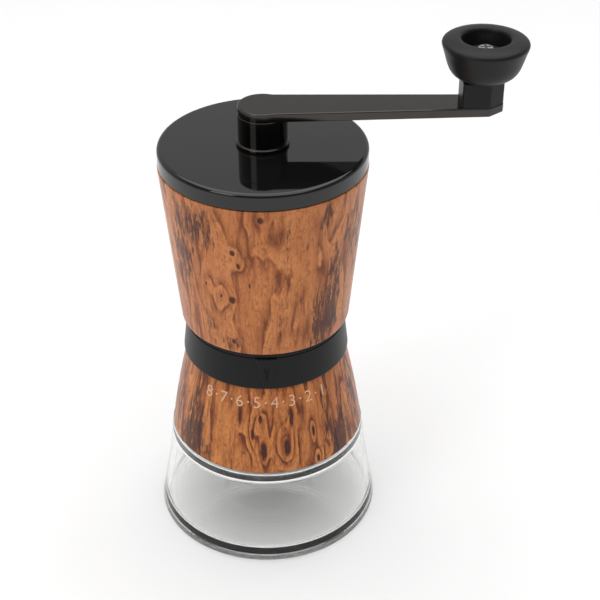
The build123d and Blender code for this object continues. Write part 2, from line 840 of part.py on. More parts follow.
# ---------------------------------------------------------------- crank arm and knob block
TIP_CUT = 5.9               # corner cut of the arm's end, along the arm
TIP_FLAT = 1.8              # half width left at the very end


def arm_end(inset):
    """Outline of the arm's squared end from the knob block outwards, drawn in by inset."""
    side = ARM_W_END - inset
    end = ARM_LEN + ARM_TIP - inset
    return [
        (end - TIP_CUT, -side),
        (end, -TIP_FLAT),
        (end, TIP_FLAT),
        (end - TIP_CUT, side),
    ]


with BuildPart() as crank_arm:
    with BuildSketch(Plane.XY.offset(z_arm)):
        with BuildLine():
            Polyline((0, -ARM_W_HUB), *arm_end(0), (0, ARM_W_HUB), close=True)
        make_face()
        ends = vertices().filter_by(lambda v: v.X > ARM_LEN)
        fillet(ends, 1.7)
        Circle(HUB_R - 0.1)
    extrude(amount=ARM_T)
    fillet(faces().sort_by(Axis.Z)[-1].outer_wire().edges(), 0.5)
    chamfer(faces().sort_by(Axis.Z)[0].outer_wire().edges(), 0.3)
    with Locations((0, 0, z_arm)):
        Cylinder(SCREW_R + 0.05, 2 * (ARM_T - 0.8), mode=Mode.SUBTRACT)
    with Locations((ARM_LEN, 0, z_arm)):
        Cylinder(PIVOT_R + RUN, 4 * ARM_T, mode=Mode.SUBTRACT)
finish(crank_arm, "crank_arm")

with BuildPart() as knob_block:
    with BuildSketch(Plane.XY.offset(z_arm_top)):
        inset = 0.15
        with BuildLine():
            start = ARM_LEN - ARM_TIP
            side = ARM_W_END - inset
            Polyline((start, -side), *arm_end(inset), (start, side), close=True)
        make_face()
        fillet(vertices().filter_by(lambda v: v.X > ARM_LEN), 1.6)
        fillet(vertices().filter_by(lambda v: v.X < ARM_LEN), 1.0)
        with Locations((ARM_LEN, 0)):
            Circle(PIVOT_R + RUN, mode=Mode.SUBTRACT)
    extrude(amount=BLOCK_H)
finish(knob_block, "knob_block")

# ---------------------------------------------------------------- knob with its screw and washer
z_well = z_knob_top - KNOB_WELL_DEPTH
knob_washer_z = z_well + GAP
KNOB_WASHER_T = 0.8

with BuildPart() as knob:
    with BuildSketch(Plane.XZ) as knob_section:
        with BuildLine():
            waist = (0.92 * KNOB_R, z_knob + 0.58 * KNOB_H)
            belly = (KNOB_FOOT_R + 0.62 * (KNOB_R - KNOB_FOOT_R), z_knob + 0.24 * KNOB_H)
            Line((PIVOT_BORE_R, z_knob), (KNOB_FOOT_R, z_knob))
            ThreePointArc((KNOB_FOOT_R, z_knob), belly, waist)
            Line(waist, (KNOB_R, z_knob_top - 2.8))
            ThreePointArc(
                (KNOB_R, z_knob_top - 2.8),
                (KNOB_R - 2.2, z_knob_top - 0.9),
                (KNOB_WELL_R + 1.6, z_knob_top),
            )
            ThreePointArc(
                (KNOB_WELL_R + 1.6, z_knob_top),
                (KNOB_WELL_R + 0.45, z_knob_top - 0.5),
                (KNOB_WELL_R, z_knob_top - 1.7),
            )
            Line((KNOB_WELL_R, z_knob_top - 1.7), (KNOB_WELL_R - 0.6, z_well))
            Line((KNOB_WELL_R - 0.6, z_well), (PIVOT_BORE_R, z_well))
            Line((PIVOT_BORE_R, z_well), (PIVOT_BORE_R, z_knob))
        make_face()
    revolve(axis=Axis.Z)
    knob_place = Location((ARM_LEN, 0, 0))
knob.part = knob.part.moved(knob_place)
finish(knob, "knob")

with BuildPart() as knob_washer:
    with BuildSketch(Plane.XY.offset(knob_washer_z)):
        with Locations((ARM_LEN, 0)):
            Circle(5.2)
            Circle(PIVOT_R + RUN, mode=Mode.SUBTRACT)
    extrude(amount=KNOB_WASHER_T)
finish(knob_washer, "knob_washer")

with BuildPart() as knob_screw:
    head_z = knob_washer_z + KNOB_WASHER_T
    with BuildSketch(Plane.XY.offset(z_arm - 0.5)):
        with Locations((ARM_LEN, 0)):
            Circle(PIVOT_R)
    extrude(amount=head_z - z_arm + 0.5)
    with BuildSketch(Plane.XY.offset(head_z)):
        with Locations((ARM_LEN, 0)):
            Circle(SCREW_HEAD_R)
    extrude(amount=2.2)
    fillet(faces().sort_by(Axis.Z)[-1].edges(), 1.6)
    # Cross recess
    with Locations((ARM_LEN, 0, head_z + 2.2)):
        Box(4.0, 0.9, 2.4, mode=Mode.SUBTRACT)
        Box(0.9, 4.0, 2.4, mode=Mode.SUBTRACT)
finish(knob_screw, "knob_screw")
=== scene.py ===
"""Looks of the hand coffee grinder, built round its CAD frame.

Everything is in metres in the grinder's own frame: Z is the shaft axis, the table is z = 0, the crank
points along +X at rest and the dial faces -Y. Sizes in the classes are in millimetres.
"""

import logging
import math
from dataclasses import dataclass
from enum import Enum
from typing import Callable, Sequence

import bmesh
import bpy
from mathutils import Matrix, Vector


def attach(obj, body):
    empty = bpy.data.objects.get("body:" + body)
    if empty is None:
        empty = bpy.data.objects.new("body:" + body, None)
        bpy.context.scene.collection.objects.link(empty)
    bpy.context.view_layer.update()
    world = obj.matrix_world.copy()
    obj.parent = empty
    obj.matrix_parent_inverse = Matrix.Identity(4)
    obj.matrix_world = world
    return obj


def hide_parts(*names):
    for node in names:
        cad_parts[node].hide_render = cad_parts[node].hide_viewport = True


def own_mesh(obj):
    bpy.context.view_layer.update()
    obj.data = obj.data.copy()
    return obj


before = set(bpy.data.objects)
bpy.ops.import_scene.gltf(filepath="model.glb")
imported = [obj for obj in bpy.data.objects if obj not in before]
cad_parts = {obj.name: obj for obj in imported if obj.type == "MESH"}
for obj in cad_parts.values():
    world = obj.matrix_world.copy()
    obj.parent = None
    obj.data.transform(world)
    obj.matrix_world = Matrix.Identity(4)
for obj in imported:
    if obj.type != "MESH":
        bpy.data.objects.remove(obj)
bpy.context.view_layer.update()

LOG = logging.getLogger("grinder")
MM = 0.001
SUNK = 0.4  # millimetres that a raised mark reaches into what carries it
Colour = tuple[float, float, float]
Socket = bpy.types.NodeSocket
Feed = float | Socket


# ------------------------------------------------------------------------------------ node tools
class Graph:
    """Adds and links nodes in one node tree."""

    def __init__(self, tree: bpy.types.NodeTree) -> None:
        """Keep the tree that nodes are added to.

        Args:
            tree: Node tree that nodes are added to.
        """
        self.tree = tree

    def node(self, kind: str, **settings: object) -> bpy.types.Node:
        """Add a node.

        Args:
            kind: The node's type name without its ShaderNode prefix.
            **settings: Attributes to set on it.

        Returns:
            The new node.
        """
        made = self.tree.nodes.new("ShaderNode" + kind)
        for key, value in settings.items():
            setattr(made, key, value)
        return made

    def feed(self, socket: Socket, value: Feed | Sequence[float]) -> None:
        """Link a socket to another, or set its plain value.

        Args:
            socket: Input to fill.
            value: Socket to link, or the value to set.
        """
        if isinstance(value, bpy.types.NodeSocket):
            self.tree.links.new(value, socket)
        else:
            socket.default_value = value

    def math(self, operation: str, *values: Feed, clamp: bool = False) -> Socket:
        """Result of a Math node on the given values.

        Args:
            operation: The node's operation.
            *values: Its inputs, in order.
            clamp: Whether the result is kept from 0 to 1.

        Returns:
            The result.
        """
        made = self.node("Math", operation=operation, use_clamp=clamp)
        for socket, value in zip(made.inputs, values):
            self.feed(socket, value)
        return made.outputs[0]

    def vector(self, operation: str, first: object, second: object) -> Socket:
        """Result of a Vector Math node on two vectors.

        Args:
            operation: The node's operation.
            first: Vector or socket.
            second: Vector or socket.

        Returns:
            The result.
        """
        made = self.node("VectorMath", operation=operation)
        self.feed(made.inputs[0], first)
        self.feed(made.inputs[1], second)
        return made.outputs[0]

    def noise(self, point: Socket, scale: float, detail: float = 2.0, rough: float = 0.5) -> Socket:
        """Grey value of a Noise texture at a point.

        Args:
            point: Where the texture is read.
            scale: Cells per unit.
            detail: Number of finer layers.
            rough: Strength of the finer layers.

        Returns:
            Grey value, 0 to 1.
        """
        made = self.node("TexNoise", noise_dimensions="3D")
        self.feed(made.inputs["Vector"], point)
        made.inputs["Scale"].default_value = scale
        made.inputs["Detail"].default_value = detail
        made.inputs["Roughness"].default_value = rough
        return made.outputs["Fac"]

    def smooth(self, value: Feed, low: Feed, high: Feed) -> Socket:
        """Smooth step of a value from 0 at low to 1 at high.

        Args:
            value: Value to step.
            low: Value that gives 0.
            high: Value that gives 1.

        Returns:
            The stepped value.
        """
        made = self.node("MapRange", interpolation_type="SMOOTHSTEP")
        for name, given in (("Value", value), ("From Min", low), ("From Max", high)):
            self.feed(made.inputs[name], given)
        return made.outputs["Result"]

    def spread(self, value: Feed, low: float, high: float) -> Socket:
        """A 0 to 1 value spread over another range.

        Args:
            value: Value from 0 to 1.
            low: Result at 0.
            high: Result at 1.

        Returns:
            The spread value.
        """
        made = self.node("MapRange")
        self.feed(made.inputs["Value"], value)
        made.inputs["To Min"].default_value = low
        made.inputs["To Max"].default_value = high
        return made.outputs["Result"]

    def mix(self, share: Feed, first: object, second: object, blend: str = "MIX") -> Socket:
        """Colour mixed from two others.

        Args:
            share: How much of the second colour, 0 to 1.
            first: Colour or socket.
            second: Colour or socket.
            blend: Blend mode.

        Returns:
            The mixed colour.
        """
        made = self.node("Mix", data_type="RGBA", blend_type=blend)
        self.feed(made.inputs[0], share)
        for socket, value in zip((made.inputs[6], made.inputs[7]), (first, second)):
            self.feed(socket, (*value, 1.0) if isinstance(value, tuple) else value)
        return made.outputs[2]

    def shaded(self, colour: Socket, shade: Socket) -> Socket:
        """Colour made lighter or darker by a grey value.

        Args:
            colour: Colour to change.
            shade: Grey value it is multiplied by.

        Returns:
            The changed colour.
        """
        grey = self.node("CombineXYZ")
        for socket in grey.inputs:
            self.feed(socket, shade)
        return self.mix(1.0, colour, grey.outputs[0], "MULTIPLY")

    def scaled(self, point: Socket, across: float, along: float) -> Socket:
        """A point in metres stretched to millimetre cells across and along Z.

        Args:
            point: Point in metres.
            across: Cell size across Z, in millimetres.
            along: Cell size along Z, in millimetres.

        Returns:
            The stretched point.
        """
        made = self.node("Mapping", vector_type="POINT")
        self.feed(made.inputs["Vector"], point)
        made.inputs["Scale"].default_value = (1 / (across * MM), 1 / (across * MM), 1 / (along * MM))
        return made.outputs[0]

    def group(self, tree: bpy.types.NodeTree, **values: object) -> bpy.types.Node:
        """Place a node group; underscores in the names stand for spaces.

        Args:
            tree: The node group.
            **values: Its inputs by name.

        Returns:
            The group node.
        """
        made = self.node("Group", node_tree=tree)
        for key, value in values.items():
            self.feed(made.inputs[key.replace("_", " ")], value)
        return made


SOCKETS = {"v": "NodeSocketVector", "f": "NodeSocketFloat", "c": "NodeSocketColor"}


def new_group(name: str, inputs: dict[str, str], outputs: dict[str, str]) -> tuple[Graph, dict, Callable]:
    """Start a node group.

    Args:
        name: The group's name.
        inputs: Input names with their kinds, v, f or c.
        outputs: Output names with their kinds.

    Returns:
        The group's graph, its input sockets by name, and a function that sets an output.
    """
    tree = bpy.data.node_groups.new(name, "ShaderNodeTree")
    for key, kind in inputs.items():
        tree.interface.new_socket(name=key, in_out="INPUT", socket_type=SOCKETS[kind])
    for key, kind in outputs.items():
        tree.interface.new_socket(name=key, in_out="OUTPUT", socket_type=SOCKETS[kind])
    entry = tree.nodes.new("NodeGroupInput")
    leave = tree.nodes.new("NodeGroupOutput")
    graph = Graph(tree)
    return graph, entry.outputs, lambda key, value: graph.feed(leave.inputs[key], value)


# ------------------------------------------------------------------------------------ shared effects
class Effects:
    """Node groups that several finishes share, each built once."""

    def __init__(self) -> None:
        """Build every group."""
        self.round = self._round()
        self.knot = self._knot()
        self.figure = self._figure()
        self.moulded = self._moulded()
        self.turned = self._turned()

    def _round(self) -> bpy.types.NodeTree:
        """Group that unrolls a point round Z: its place on a 38 mm cylinder, angle and height.

        Returns:
            The group.
        """
        g, given, put = new_group("round_place", {"Point": "v"}, {"Place": "v", "Angle": "f", "Height": "f"})
        split = g.node("SeparateXYZ")
        g.feed(split.inputs[0], given["Point"])
        flat = g.node("CombineXYZ")
        g.feed(flat.inputs[0], split.outputs[0])
        g.feed(flat.inputs[1], split.outputs[1])
        unit = g.node("VectorMath", operation="NORMALIZE")
        g.feed(unit.inputs[0], flat.outputs[0])
        ring = g.node("VectorMath", operation="SCALE")
        g.feed(ring.inputs[0], unit.outputs[0])
        ring.inputs["Scale"].default_value = 38 * MM
        up = g.node("CombineXYZ")
        g.feed(up.inputs[2], split.outputs[2])
        put("Place", g.vector("ADD", ring.outputs[0], up.outputs[0]))
        put("Angle", g.math("ARCTAN2", split.outputs[0], g.math("MULTIPLY", split.outputs[1], -1.0)))
        put("Height", split.outputs[2])
        return g.tree

    def _knot(self) -> bpy.types.NodeTree:
        """Group for one knot in the figure: a soft swell round it and its dark core.

        Returns:
            The group.
        """
        names = ("Angle", "Height", "At Angle", "At Height", "Wide", "Tall", "Core Size")
        g, given, put = new_group("knot", {n: "f" for n in names}, {"Swell": "f", "Core": "f"})
        across = g.math("DIVIDE", g.math("SUBTRACT", given["Angle"], given["At Angle"]), given["Wide"])
        along = g.math("DIVIDE", g.math("SUBTRACT", given["Height"], given["At Height"]), given["Tall"])
        far = g.math("ADD", g.math("MULTIPLY", across, across), g.math("MULTIPLY", along, along))
        put("Swell", g.math("EXPONENT", g.math("MULTIPLY", far, -0.55)))
        core = g.math("SQRT", far)
        full = g.math("MULTIPLY", given["Core Size"], 0.35)
        put("Core", g.math("SUBTRACT", 1.0, g.smooth(core, full, given["Core Size"])))
        return g.tree

    def _figure(self) -> bpy.types.NodeTree:
        """Group that colours the burl print from its grain field, knots and dark patches.

        Returns:
            The group.
        """
        inputs = {
            "Place": "v", "Field": "f", "Core": "f", "Patch": "f", "Bands": "f", "Vein": "f",
            "Light": "c", "Tan": "c", "Red": "c", "Dark": "c",
        }
        g, given, put = new_group("burl_figure", inputs, {"Color": "c", "Height": "f"})
        place = given["Place"]
        bent = g.noise(g.scaled(place, 9.0, 24.0), 1.0, 2.0, 0.5)
        shift = g.node("VectorMath", operation="SCALE")
        g.feed(shift.inputs[0], (1.0, 1.0, 0.0))
        g.feed(shift.inputs["Scale"], g.math("MULTIPLY", g.math("SUBTRACT", bent, 0.5), 9 * MM))
        wavy = g.vector("ADD", place, shift.outputs[0])
        wave = g.noise(g.scaled(place, 7.0, 22.0), 1.0, 4.0, 0.60)
        field = g.math("ADD", given["Field"], g.math("MULTIPLY", wave, 0.20))
        wide = g.math("FRACT", g.math("MULTIPLY", field, given["Bands"]))
        fine = g.math("FRACT", g.math("MULTIPLY", field, g.math("MULTIPLY", given["Bands"], 3.7)))
        broken = g.noise(g.scaled(place, 3.0, 15.0), 1.0, 3.0, 0.6)
        ridge = g.math("MULTIPLY", g.math("POWER", wide, 3.0), g.smooth(wide, 1.0, 0.84))
        line = g.math("MULTIPLY", g.math("MULTIPLY", ridge, 2.0), g.smooth(broken, 0.36, 0.60))
        hair = g.math("MULTIPLY", g.math("POWER", fine, 2.0), g.smooth(broken, 0.62, 0.44))
        vein = g.math("MULTIPLY", line, given["Vein"], clamp=True)
        fibre = g.noise(g.scaled(wavy, 0.34, 7.0), 1.0, 4.0, 0.65)
        thread = g.noise(g.scaled(wavy, 1.1, 17.0), 1.0, 3.0, 0.6)
        streak = g.noise(g.scaled(wavy, 2.1, 60.0), 1.0, 2.0, 0.5)
        curl = g.noise(g.scaled(place, 1.4, 2.0), 1.0, 5.0, 0.68)
        cloud = g.noise(g.scaled(place, 11.0, 26.0), 1.0, 3.0, 0.55)
        tone = g.mix(g.math("MULTIPLY", wide, 0.7), given["Light"], given["Tan"])
        tone = g.mix(g.math("MULTIPLY", g.smooth(cloud, 0.40, 0.66), 0.60), tone, given["Tan"])
        tone = g.mix(g.math("MULTIPLY", hair, 0.35), tone, given["Red"])
        tone = g.mix(g.math("MULTIPLY", g.smooth(curl, 0.50, 0.70), 0.60), tone, given["Red"])
        tone = g.mix(g.math("MULTIPLY", g.smooth(thread, 0.54, 0.70), 0.35), tone, given["Red"])
        tone = g.mix(g.math("MULTIPLY", g.smooth(streak, 0.56, 0.68), 0.60), tone, given["Red"])
        tone = g.mix(g.math("MULTIPLY", g.smooth(fibre, 0.50, 0.70), 0.40), tone, given["Red"])
        tone = g.mix(g.math("MULTIPLY", g.smooth(fibre, 0.48, 0.32), 0.35), tone, given["Light"])
        tone = g.mix(vein, tone, given["Red"])
        tone = g.mix(g.math("MULTIPLY", g.math("POWER", vein, 2.0), 0.25), tone, given["Dark"])
        torn = g.math("SUBTRACT", g.noise(g.scaled(place, 1.3, 7.0), 1.0, 5.0, 0.7), 0.5)
        torn = g.math("MULTIPLY", torn, g.math("MULTIPLY", g.smooth(given["Patch"], 0.05, 0.35), 2.6))
        patch = g.smooth(g.math("ADD", given["Patch"], torn), 0.20, 0.64)
        tone = g.mix(g.math("MULTIPLY", patch, 0.85), tone, given["Dark"])
        edge = g.math("SUBTRACT", g.noise(g.scaled(place, 1.0, 2.6), 1.0, 3.0, 0.6), 0.5)
        edge = g.math("MULTIPLY", edge, g.math("MULTIPLY", g.smooth(given["Core"], 0.0, 0.4), 1.9))
        core = g.smooth(g.math("ADD", given["Core"], edge), 0.25, 0.95)
        tone = g.mix(g.math("MULTIPLY", g.smooth(given["Core"], 0.0, 0.5), 0.6), tone, given["Red"])
        tone = g.mix(g.math("MULTIPLY", core, 0.9), tone, given["Dark"])
        put("Color", tone)
        put("Height", fibre)
        return g.tree

    def _moulded(self) -> bpy.types.NodeTree:
        """Group for moulded plastic: fine grain in colour, roughness and height.

        Returns:
            The group.
        """
        inputs = {"Point": "v", "Base": "c", "Rough": "f", "Change": "f"}
        g, given, put = new_group("moulded_grain", inputs, {"Color": "c", "Roughness": "f", "Height": "f"})
        fine = g.noise(g.scaled(given["Point"], 0.35, 0.35), 1.0, 3.0, 0.6)
        broad = g.noise(g.scaled(given["Point"], 16.0, 16.0), 1.0, 3.0, 0.55)
        rubbed = g.math("MULTIPLY", g.math("SUBTRACT", broad, 0.5), given["Change"])
        put("Roughness", g.math("ADD", given["Rough"], rubbed, clamp=True))
        both = g.math("ADD", g.math("MULTIPLY", fine, 0.4), g.math("MULTIPLY", broad, 0.6))
        shade = g.spread(both, 0.80, 1.22)
        put("Color", g.shaded(given["Base"], shade))
        put("Height", fine)
        return g.tree

    def _turned(self) -> bpy.types.NodeTree:
        """Group for turned or ground metal: fine rings along Z and radius, with smudges.

        Returns:
            The group.
        """
        inputs = {"Point": "v", "Base": "c", "Rough": "f", "Change": "f"}
        g, given, put = new_group("turned_metal", inputs, {"Color": "c", "Roughness": "f", "Height": "f"})
        split = g.node("SeparateXYZ")
        g.feed(split.inputs[0], given["Point"])
        flat = g.node("CombineXYZ")
        g.feed(flat.inputs[0], split.outputs[0])
        g.feed(flat.inputs[1], split.outputs[1])
        radius = g.node("VectorMath", operation="LENGTH")
        g.feed(radius.inputs[0], flat.outputs[0])
        track = g.node("CombineXYZ")
        g.feed(track.inputs[0], radius.outputs["Value"])
        g.feed(track.inputs[2], split.outputs[2])
        rings = g.noise(g.scaled(track.outputs[0], 0.12, 0.12), 1.0, 3.0, 0.6)
        smudge = g.noise(g.scaled(given["Point"], 7.0, 7.0), 1.0, 3.0, 0.55)
        both = g.math("ADD", g.math("MULTIPLY", rings, 0.6), g.math("MULTIPLY", smudge, 0.4))
        worn = g.math("MULTIPLY", g.math("SUBTRACT", both, 0.5), given["Change"])
        put("Roughness", g.math("ADD", given["Rough"], worn))
        shade = g.spread(both, 0.78, 1.15)
        put("Color", g.shaded(given["Base"], shade))
        put("Height", rings)
        return g.tree


# ------------------------------------------------------------------------------------ finishes
def new_material(name: str) -> tuple[bpy.types.Material, Graph, bpy.types.Node, Socket]:
    """Start a material.

    Args:
        name: Its name.

    Returns:
        The material, its graph, its Principled shader and the Object coordinate socket.
    """
    made = bpy.data.materials.new(name)
    made.use_nodes = True
    graph = Graph(made.node_tree)
    shader = made.node_tree.nodes["Principled BSDF"]
    return made, graph, shader, graph.node("TexCoord").outputs["Object"]


def bump(graph: Graph, shader: bpy.types.Node, height: Socket, strength: float, depth: float) -> None:
    """Feed a height to the shader's normal.

    Args:
        graph: The material's graph.
        shader: Its Principled shader.
        height: Height socket, 0 to 1.
        strength: Bump strength.
        depth: Relief in millimetres.
    """
    made = graph.node("Bump")
    made.inputs["Strength"].default_value = strength
    made.inputs["Distance"].default_value = depth * MM
    graph.feed(made.inputs["Height"], height)
    graph.feed(shader.inputs["Normal"], made.outputs[0])


@dataclass(frozen=True)
class Plastic:
    """Moulded plastic or rubber finish."""

    name: str
    colour: Colour
    rough: float
    change: float = 0.10
    relief: float = 0.02
    level: float = 0.5

    def build(self, effects: Effects) -> bpy.types.Material:
        """Make the material.

        Args:
            effects: The shared node groups.

        Returns:
            The material.
        """
        made, g, shader, point = new_material(self.name)
        grain = g.group(
            effects.moulded, Point=point, Base=(*self.colour, 1.0), Rough=self.rough, Change=self.change
        )
        g.feed(shader.inputs["Base Color"], grain.outputs["Color"])
        g.feed(shader.inputs["Roughness"], grain.outputs["Roughness"])
        shader.inputs["Specular IOR Level"].default_value = self.level
        if self.relief:
            bump(g, shader, grain.outputs["Height"], 0.35, self.relief)
        return made


@dataclass(frozen=True)
class Metal:
    """Turned, ground or plated metal finish."""

    name: str
    colour: Colour
    rough: float
    change: float = 0.15
    relief: float = 0.01

    def build(self, effects: Effects) -> bpy.types.Material:
        """Make the material.

        Args:
            effects: The shared node groups.

        Returns:
            The material.
        """
        made, g, shader, point = new_material(self.name)
        rings = g.group(
            effects.turned, Point=point, Base=(*self.colour, 1.0), Rough=self.rough, Change=self.change
        )
        g.feed(shader.inputs["Base Color"], rings.outputs["Color"])
        g.feed(shader.inputs["Roughness"], rings.outputs["Roughness"])
        shader.inputs["Metallic"].default_value = 1.0
        if self.relief:
            bump(g, shader, rings.outputs["Height"], 0.3, self.relief)
        return made


@dataclass(frozen=True)
class Knot:
    """A knot or dark patch in the print.

    Attributes:
        angle: Degrees round from the dial.
        height: Height of its middle in millimetres.
        wide: Half width in degrees.
        tall: Half height in millimetres.
        strength: Size of a knot's dark core, or darkness of a patch.
    """

    angle: float
    height: float
    wide: float
    tall: float
    strength: float


@dataclass(frozen=True)
class BurlPrint:
    """Glossy burl wood print of one shell."""

    name: str
    knots: tuple[Knot, ...]
    patches: tuple[Knot, ...]
    bands: float
    vein: float
    light: Colour
    tan: Colour
    red: Colour
    dark: Colour
    grain: float = 60.0

    def build(self, effects: Effects) -> bpy.types.Material:
        """Make the material: grain field, knots and patches, then lacquer over them.

        Args:
            effects: The shared node groups.

        Returns:
            The material.
        """
        made, g, shader, point = new_material(self.name)
        spot = g.group(effects.round, Point=point)
        place, angle, height = spot.outputs
        field = g.noise(g.scaled(place, 15.0, self.grain), 1.0, 2.0, 0.5)
        core: Feed = 0.0
        for knot in self.knots:
            mark = self._mark(g, effects, angle, height, knot)
            field = g.math("MULTIPLY_ADD", mark.outputs["Swell"], 0.16, field)
            core = g.math("MAXIMUM", core, mark.outputs["Core"])
        patch: Feed = 0.0
        for area in self.patches:
            mark = self._mark(g, effects, angle, height, area)
            patch = g.math("MULTIPLY_ADD", mark.outputs["Swell"], area.strength, patch)
        figure = g.group(
            effects.figure, Place=place, Field=field, Core=core, Patch=patch,
            Bands=self.bands, Vein=self.vein,
            Light=(*self.light, 1.0), Tan=(*self.tan, 1.0), Red=(*self.red, 1.0), Dark=(*self.dark, 1.0),
        )
        g.feed(shader.inputs["Base Color"], figure.outputs["Color"])
        g.feed(shader.inputs["Roughness"], g.spread(figure.outputs["Height"], 0.34, 0.52))
        shader.inputs["Specular IOR Level"].default_value = 0.15
        shader.inputs["Coat Weight"].default_value = 0.28
        shader.inputs["Coat Roughness"].default_value = 0.08
        shader.inputs["Coat IOR"].default_value = 1.33
        bump(g, shader, figure.outputs["Height"], 0.2, 0.01)
        return made

    @staticmethod
    def _mark(g: Graph, effects: Effects, angle: Socket, height: Socket, knot: Knot) -> bpy.types.Node:
        """Place one knot group.

        Args:
            g: The material's graph.
            effects: The shared node groups.
            angle: Angle round Z at the shaded point.
            height: Height of the shaded point.
            knot: Knot or patch to place.

        Returns:
            The group node.
        """
        return g.group(
            effects.knot, Angle=angle, Height=height,
            At_Angle=math.radians(knot.angle), At_Height=knot.height * MM,
            Wide=math.radians(knot.wide), Tall=knot.tall * MM, Core_Size=max(knot.strength, 0.01),
        )


@dataclass(frozen=True)
class Glass:
    """Clear pressed glass."""

    name: str
    colour: Colour
    shade: Colour

    def build(self, effects: Effects) -> bpy.types.Material:
        """Make the material: plain transmission with a faint mould ripple, casting only a light shadow.

        Args:
            effects: The shared node groups; not used here.

        Returns:
            The material.
        """
        made, g, shader, point = new_material(self.name)
        shader.inputs["Base Color"].default_value = (*self.colour, 1.0)
        shader.inputs["Roughness"].default_value = 0.0
        shader.inputs["IOR"].default_value = 1.5
        shader.inputs["Transmission Weight"].default_value = 1.0
        ripple = g.noise(g.scaled(point, 13.0, 22.0), 1.0, 1.0, 0.4)
        bump(g, shader, ripple, 0.10, 0.12)
        clear = g.node("BsdfTransparent")
        clear.inputs["Color"].default_value = (*self.shade, 1.0)
        pick = g.node("MixShader")
        g.feed(pick.inputs[0], g.node("LightPath").outputs["Is Shadow Ray"])
        g.feed(pick.inputs[1], shader.outputs[0])
        g.feed(pick.inputs[2], clear.outputs[0])
        g.feed(made.node_tree.nodes["Material Output"].inputs["Surface"], pick.outputs[0])
        return made


UPPER_PRINT = BurlPrint(
    "upper_burl_print",
    knots=(
        Knot(-18, 150, 5.0, 4.5, 0.42), Knot(-15, 144, 3.6, 4.2, 0.45), Knot(-20, 127, 5.6, 5.0, 0.50),
        Knot(-2, 166, 5.0, 4.0, 0.50), Knot(-9, 135, 3.0, 6.0, 0.30), Knot(-27, 128, 4.0, 5.0, 0.25),
        Knot(-21, 106, 4.5, 4.5, 0.40), Knot(-37, 132, 3.0, 5.0, 0.30), Knot(2, 156, 7.0, 5.0, 0.0),
        Knot(70, 140, 7.0, 9.0, 0.45), Knot(105, 120, 6.0, 7.0, 0.45), Knot(150, 150, 8.0, 9.0, 0.40),
        Knot(-80, 122, 6.0, 9.0, 0.40), Knot(-120, 150, 6.0, 7.0, 0.45), Knot(-160, 118, 6.0, 7.0, 0.45),
        Knot(178, 138, 4.0, 6.0, 0.40), Knot(-100, 108, 5.0, 6.0, 0.45), Knot(125, 158, 4.0, 4.0, 0.45),
    ),
    patches=(
        Knot(-38, 158, 11, 8, 0.55), Knot(-55, 138, 8, 16, 0.50), Knot(45, 128, 6, 14, 0.55),
        Knot(42, 110, 9, 8, 0.55), Knot(36, 163, 5, 8, 0.42), Knot(-36, 112, 4, 9, 0.42),
        Knot(-22, 104, 6, 4, 0.42), Knot(13, 145, 1.6, 26, 0.34), Knot(9, 118, 1.3, 18, 0.30),
        Knot(24, 140, 1.2, 30, 0.30), Knot(33, 112, 2.2, 16, 0.40), Knot(62, 150, 10, 14, 0.40),
        Knot(120, 140, 14, 18, 0.52),
        Knot(-125, 128, 12, 18, 0.50), Knot(170, 155, 16, 10, 0.50), Knot(-165, 112, 14, 10, 0.46),
    ),
    bands=5.0, vein=0.80,
    light=(0.680, 0.262, 0.090), tan=(0.500, 0.168, 0.050),
    red=(0.225, 0.056, 0.018), dark=(0.045, 0.014, 0.013),
)
LOWER_PRINT = BurlPrint(
    "lower_burl_print",
    knots=(
        Knot(-2.6, 54.5, 3.2, 7.0, 0.95), Knot(12.0, 55.5, 3.6, 7.0, 0.80), Knot(-9.5, 62, 2.6, 6.0, 0.60),
        Knot(-4.6, 69, 2.8, 4.5, 0.60), Knot(15.6, 69, 2.2, 6.5, 0.95), Knot(-17.9, 70, 1.6, 5.5, 0.90),
        Knot(29.7, 60, 1.6, 4.0, 0.85), Knot(31.6, 46.5, 1.8, 3.0, 0.80), Knot(10, 58, 5.0, 9.0, 0.0),
        Knot(75, 60, 3.5, 8.0, 0.75), Knot(98, 52, 3.0, 6.0, 0.8), Knot(130, 66, 3.0, 7.0, 0.8),
        Knot(160, 54, 3.6, 7.0, 0.8), Knot(-85, 58, 3.2, 8.0, 0.8), Knot(-112, 68, 2.6, 6.0, 0.8),
        Knot(-140, 55, 3.6, 8.0, 0.8), Knot(-170, 66, 2.8, 6.0, 0.8),
    ),
    patches=(
        Knot(-47, 54, 3.5, 12, 0.62), Knot(-57, 50, 5, 9, 0.62), Knot(-55, 68, 3.5, 14, 0.50),
        Knot(47, 49, 5, 7, 0.62), Knot(54, 54, 5, 10, 0.55), Knot(40, 66, 3, 12, 0.48),
        Knot(-38, 48, 6, 4, 0.40), Knot(72, 66, 8, 14, 0.5), Knot(115, 60, 8, 18, 0.55),
        Knot(-75, 62, 6, 16, 0.45),
        Knot(-125, 60, 7, 18, 0.55), Knot(150, 56, 7, 16, 0.5), Knot(-160, 58, 7, 16, 0.5),
    ),
    bands=8.0, vein=1.25,
    light=(0.690, 0.262, 0.076), tan=(0.480, 0.150, 0.040),
    red=(0.190, 0.046, 0.015), dark=(0.040, 0.011, 0.011),
    grain=130.0,
)


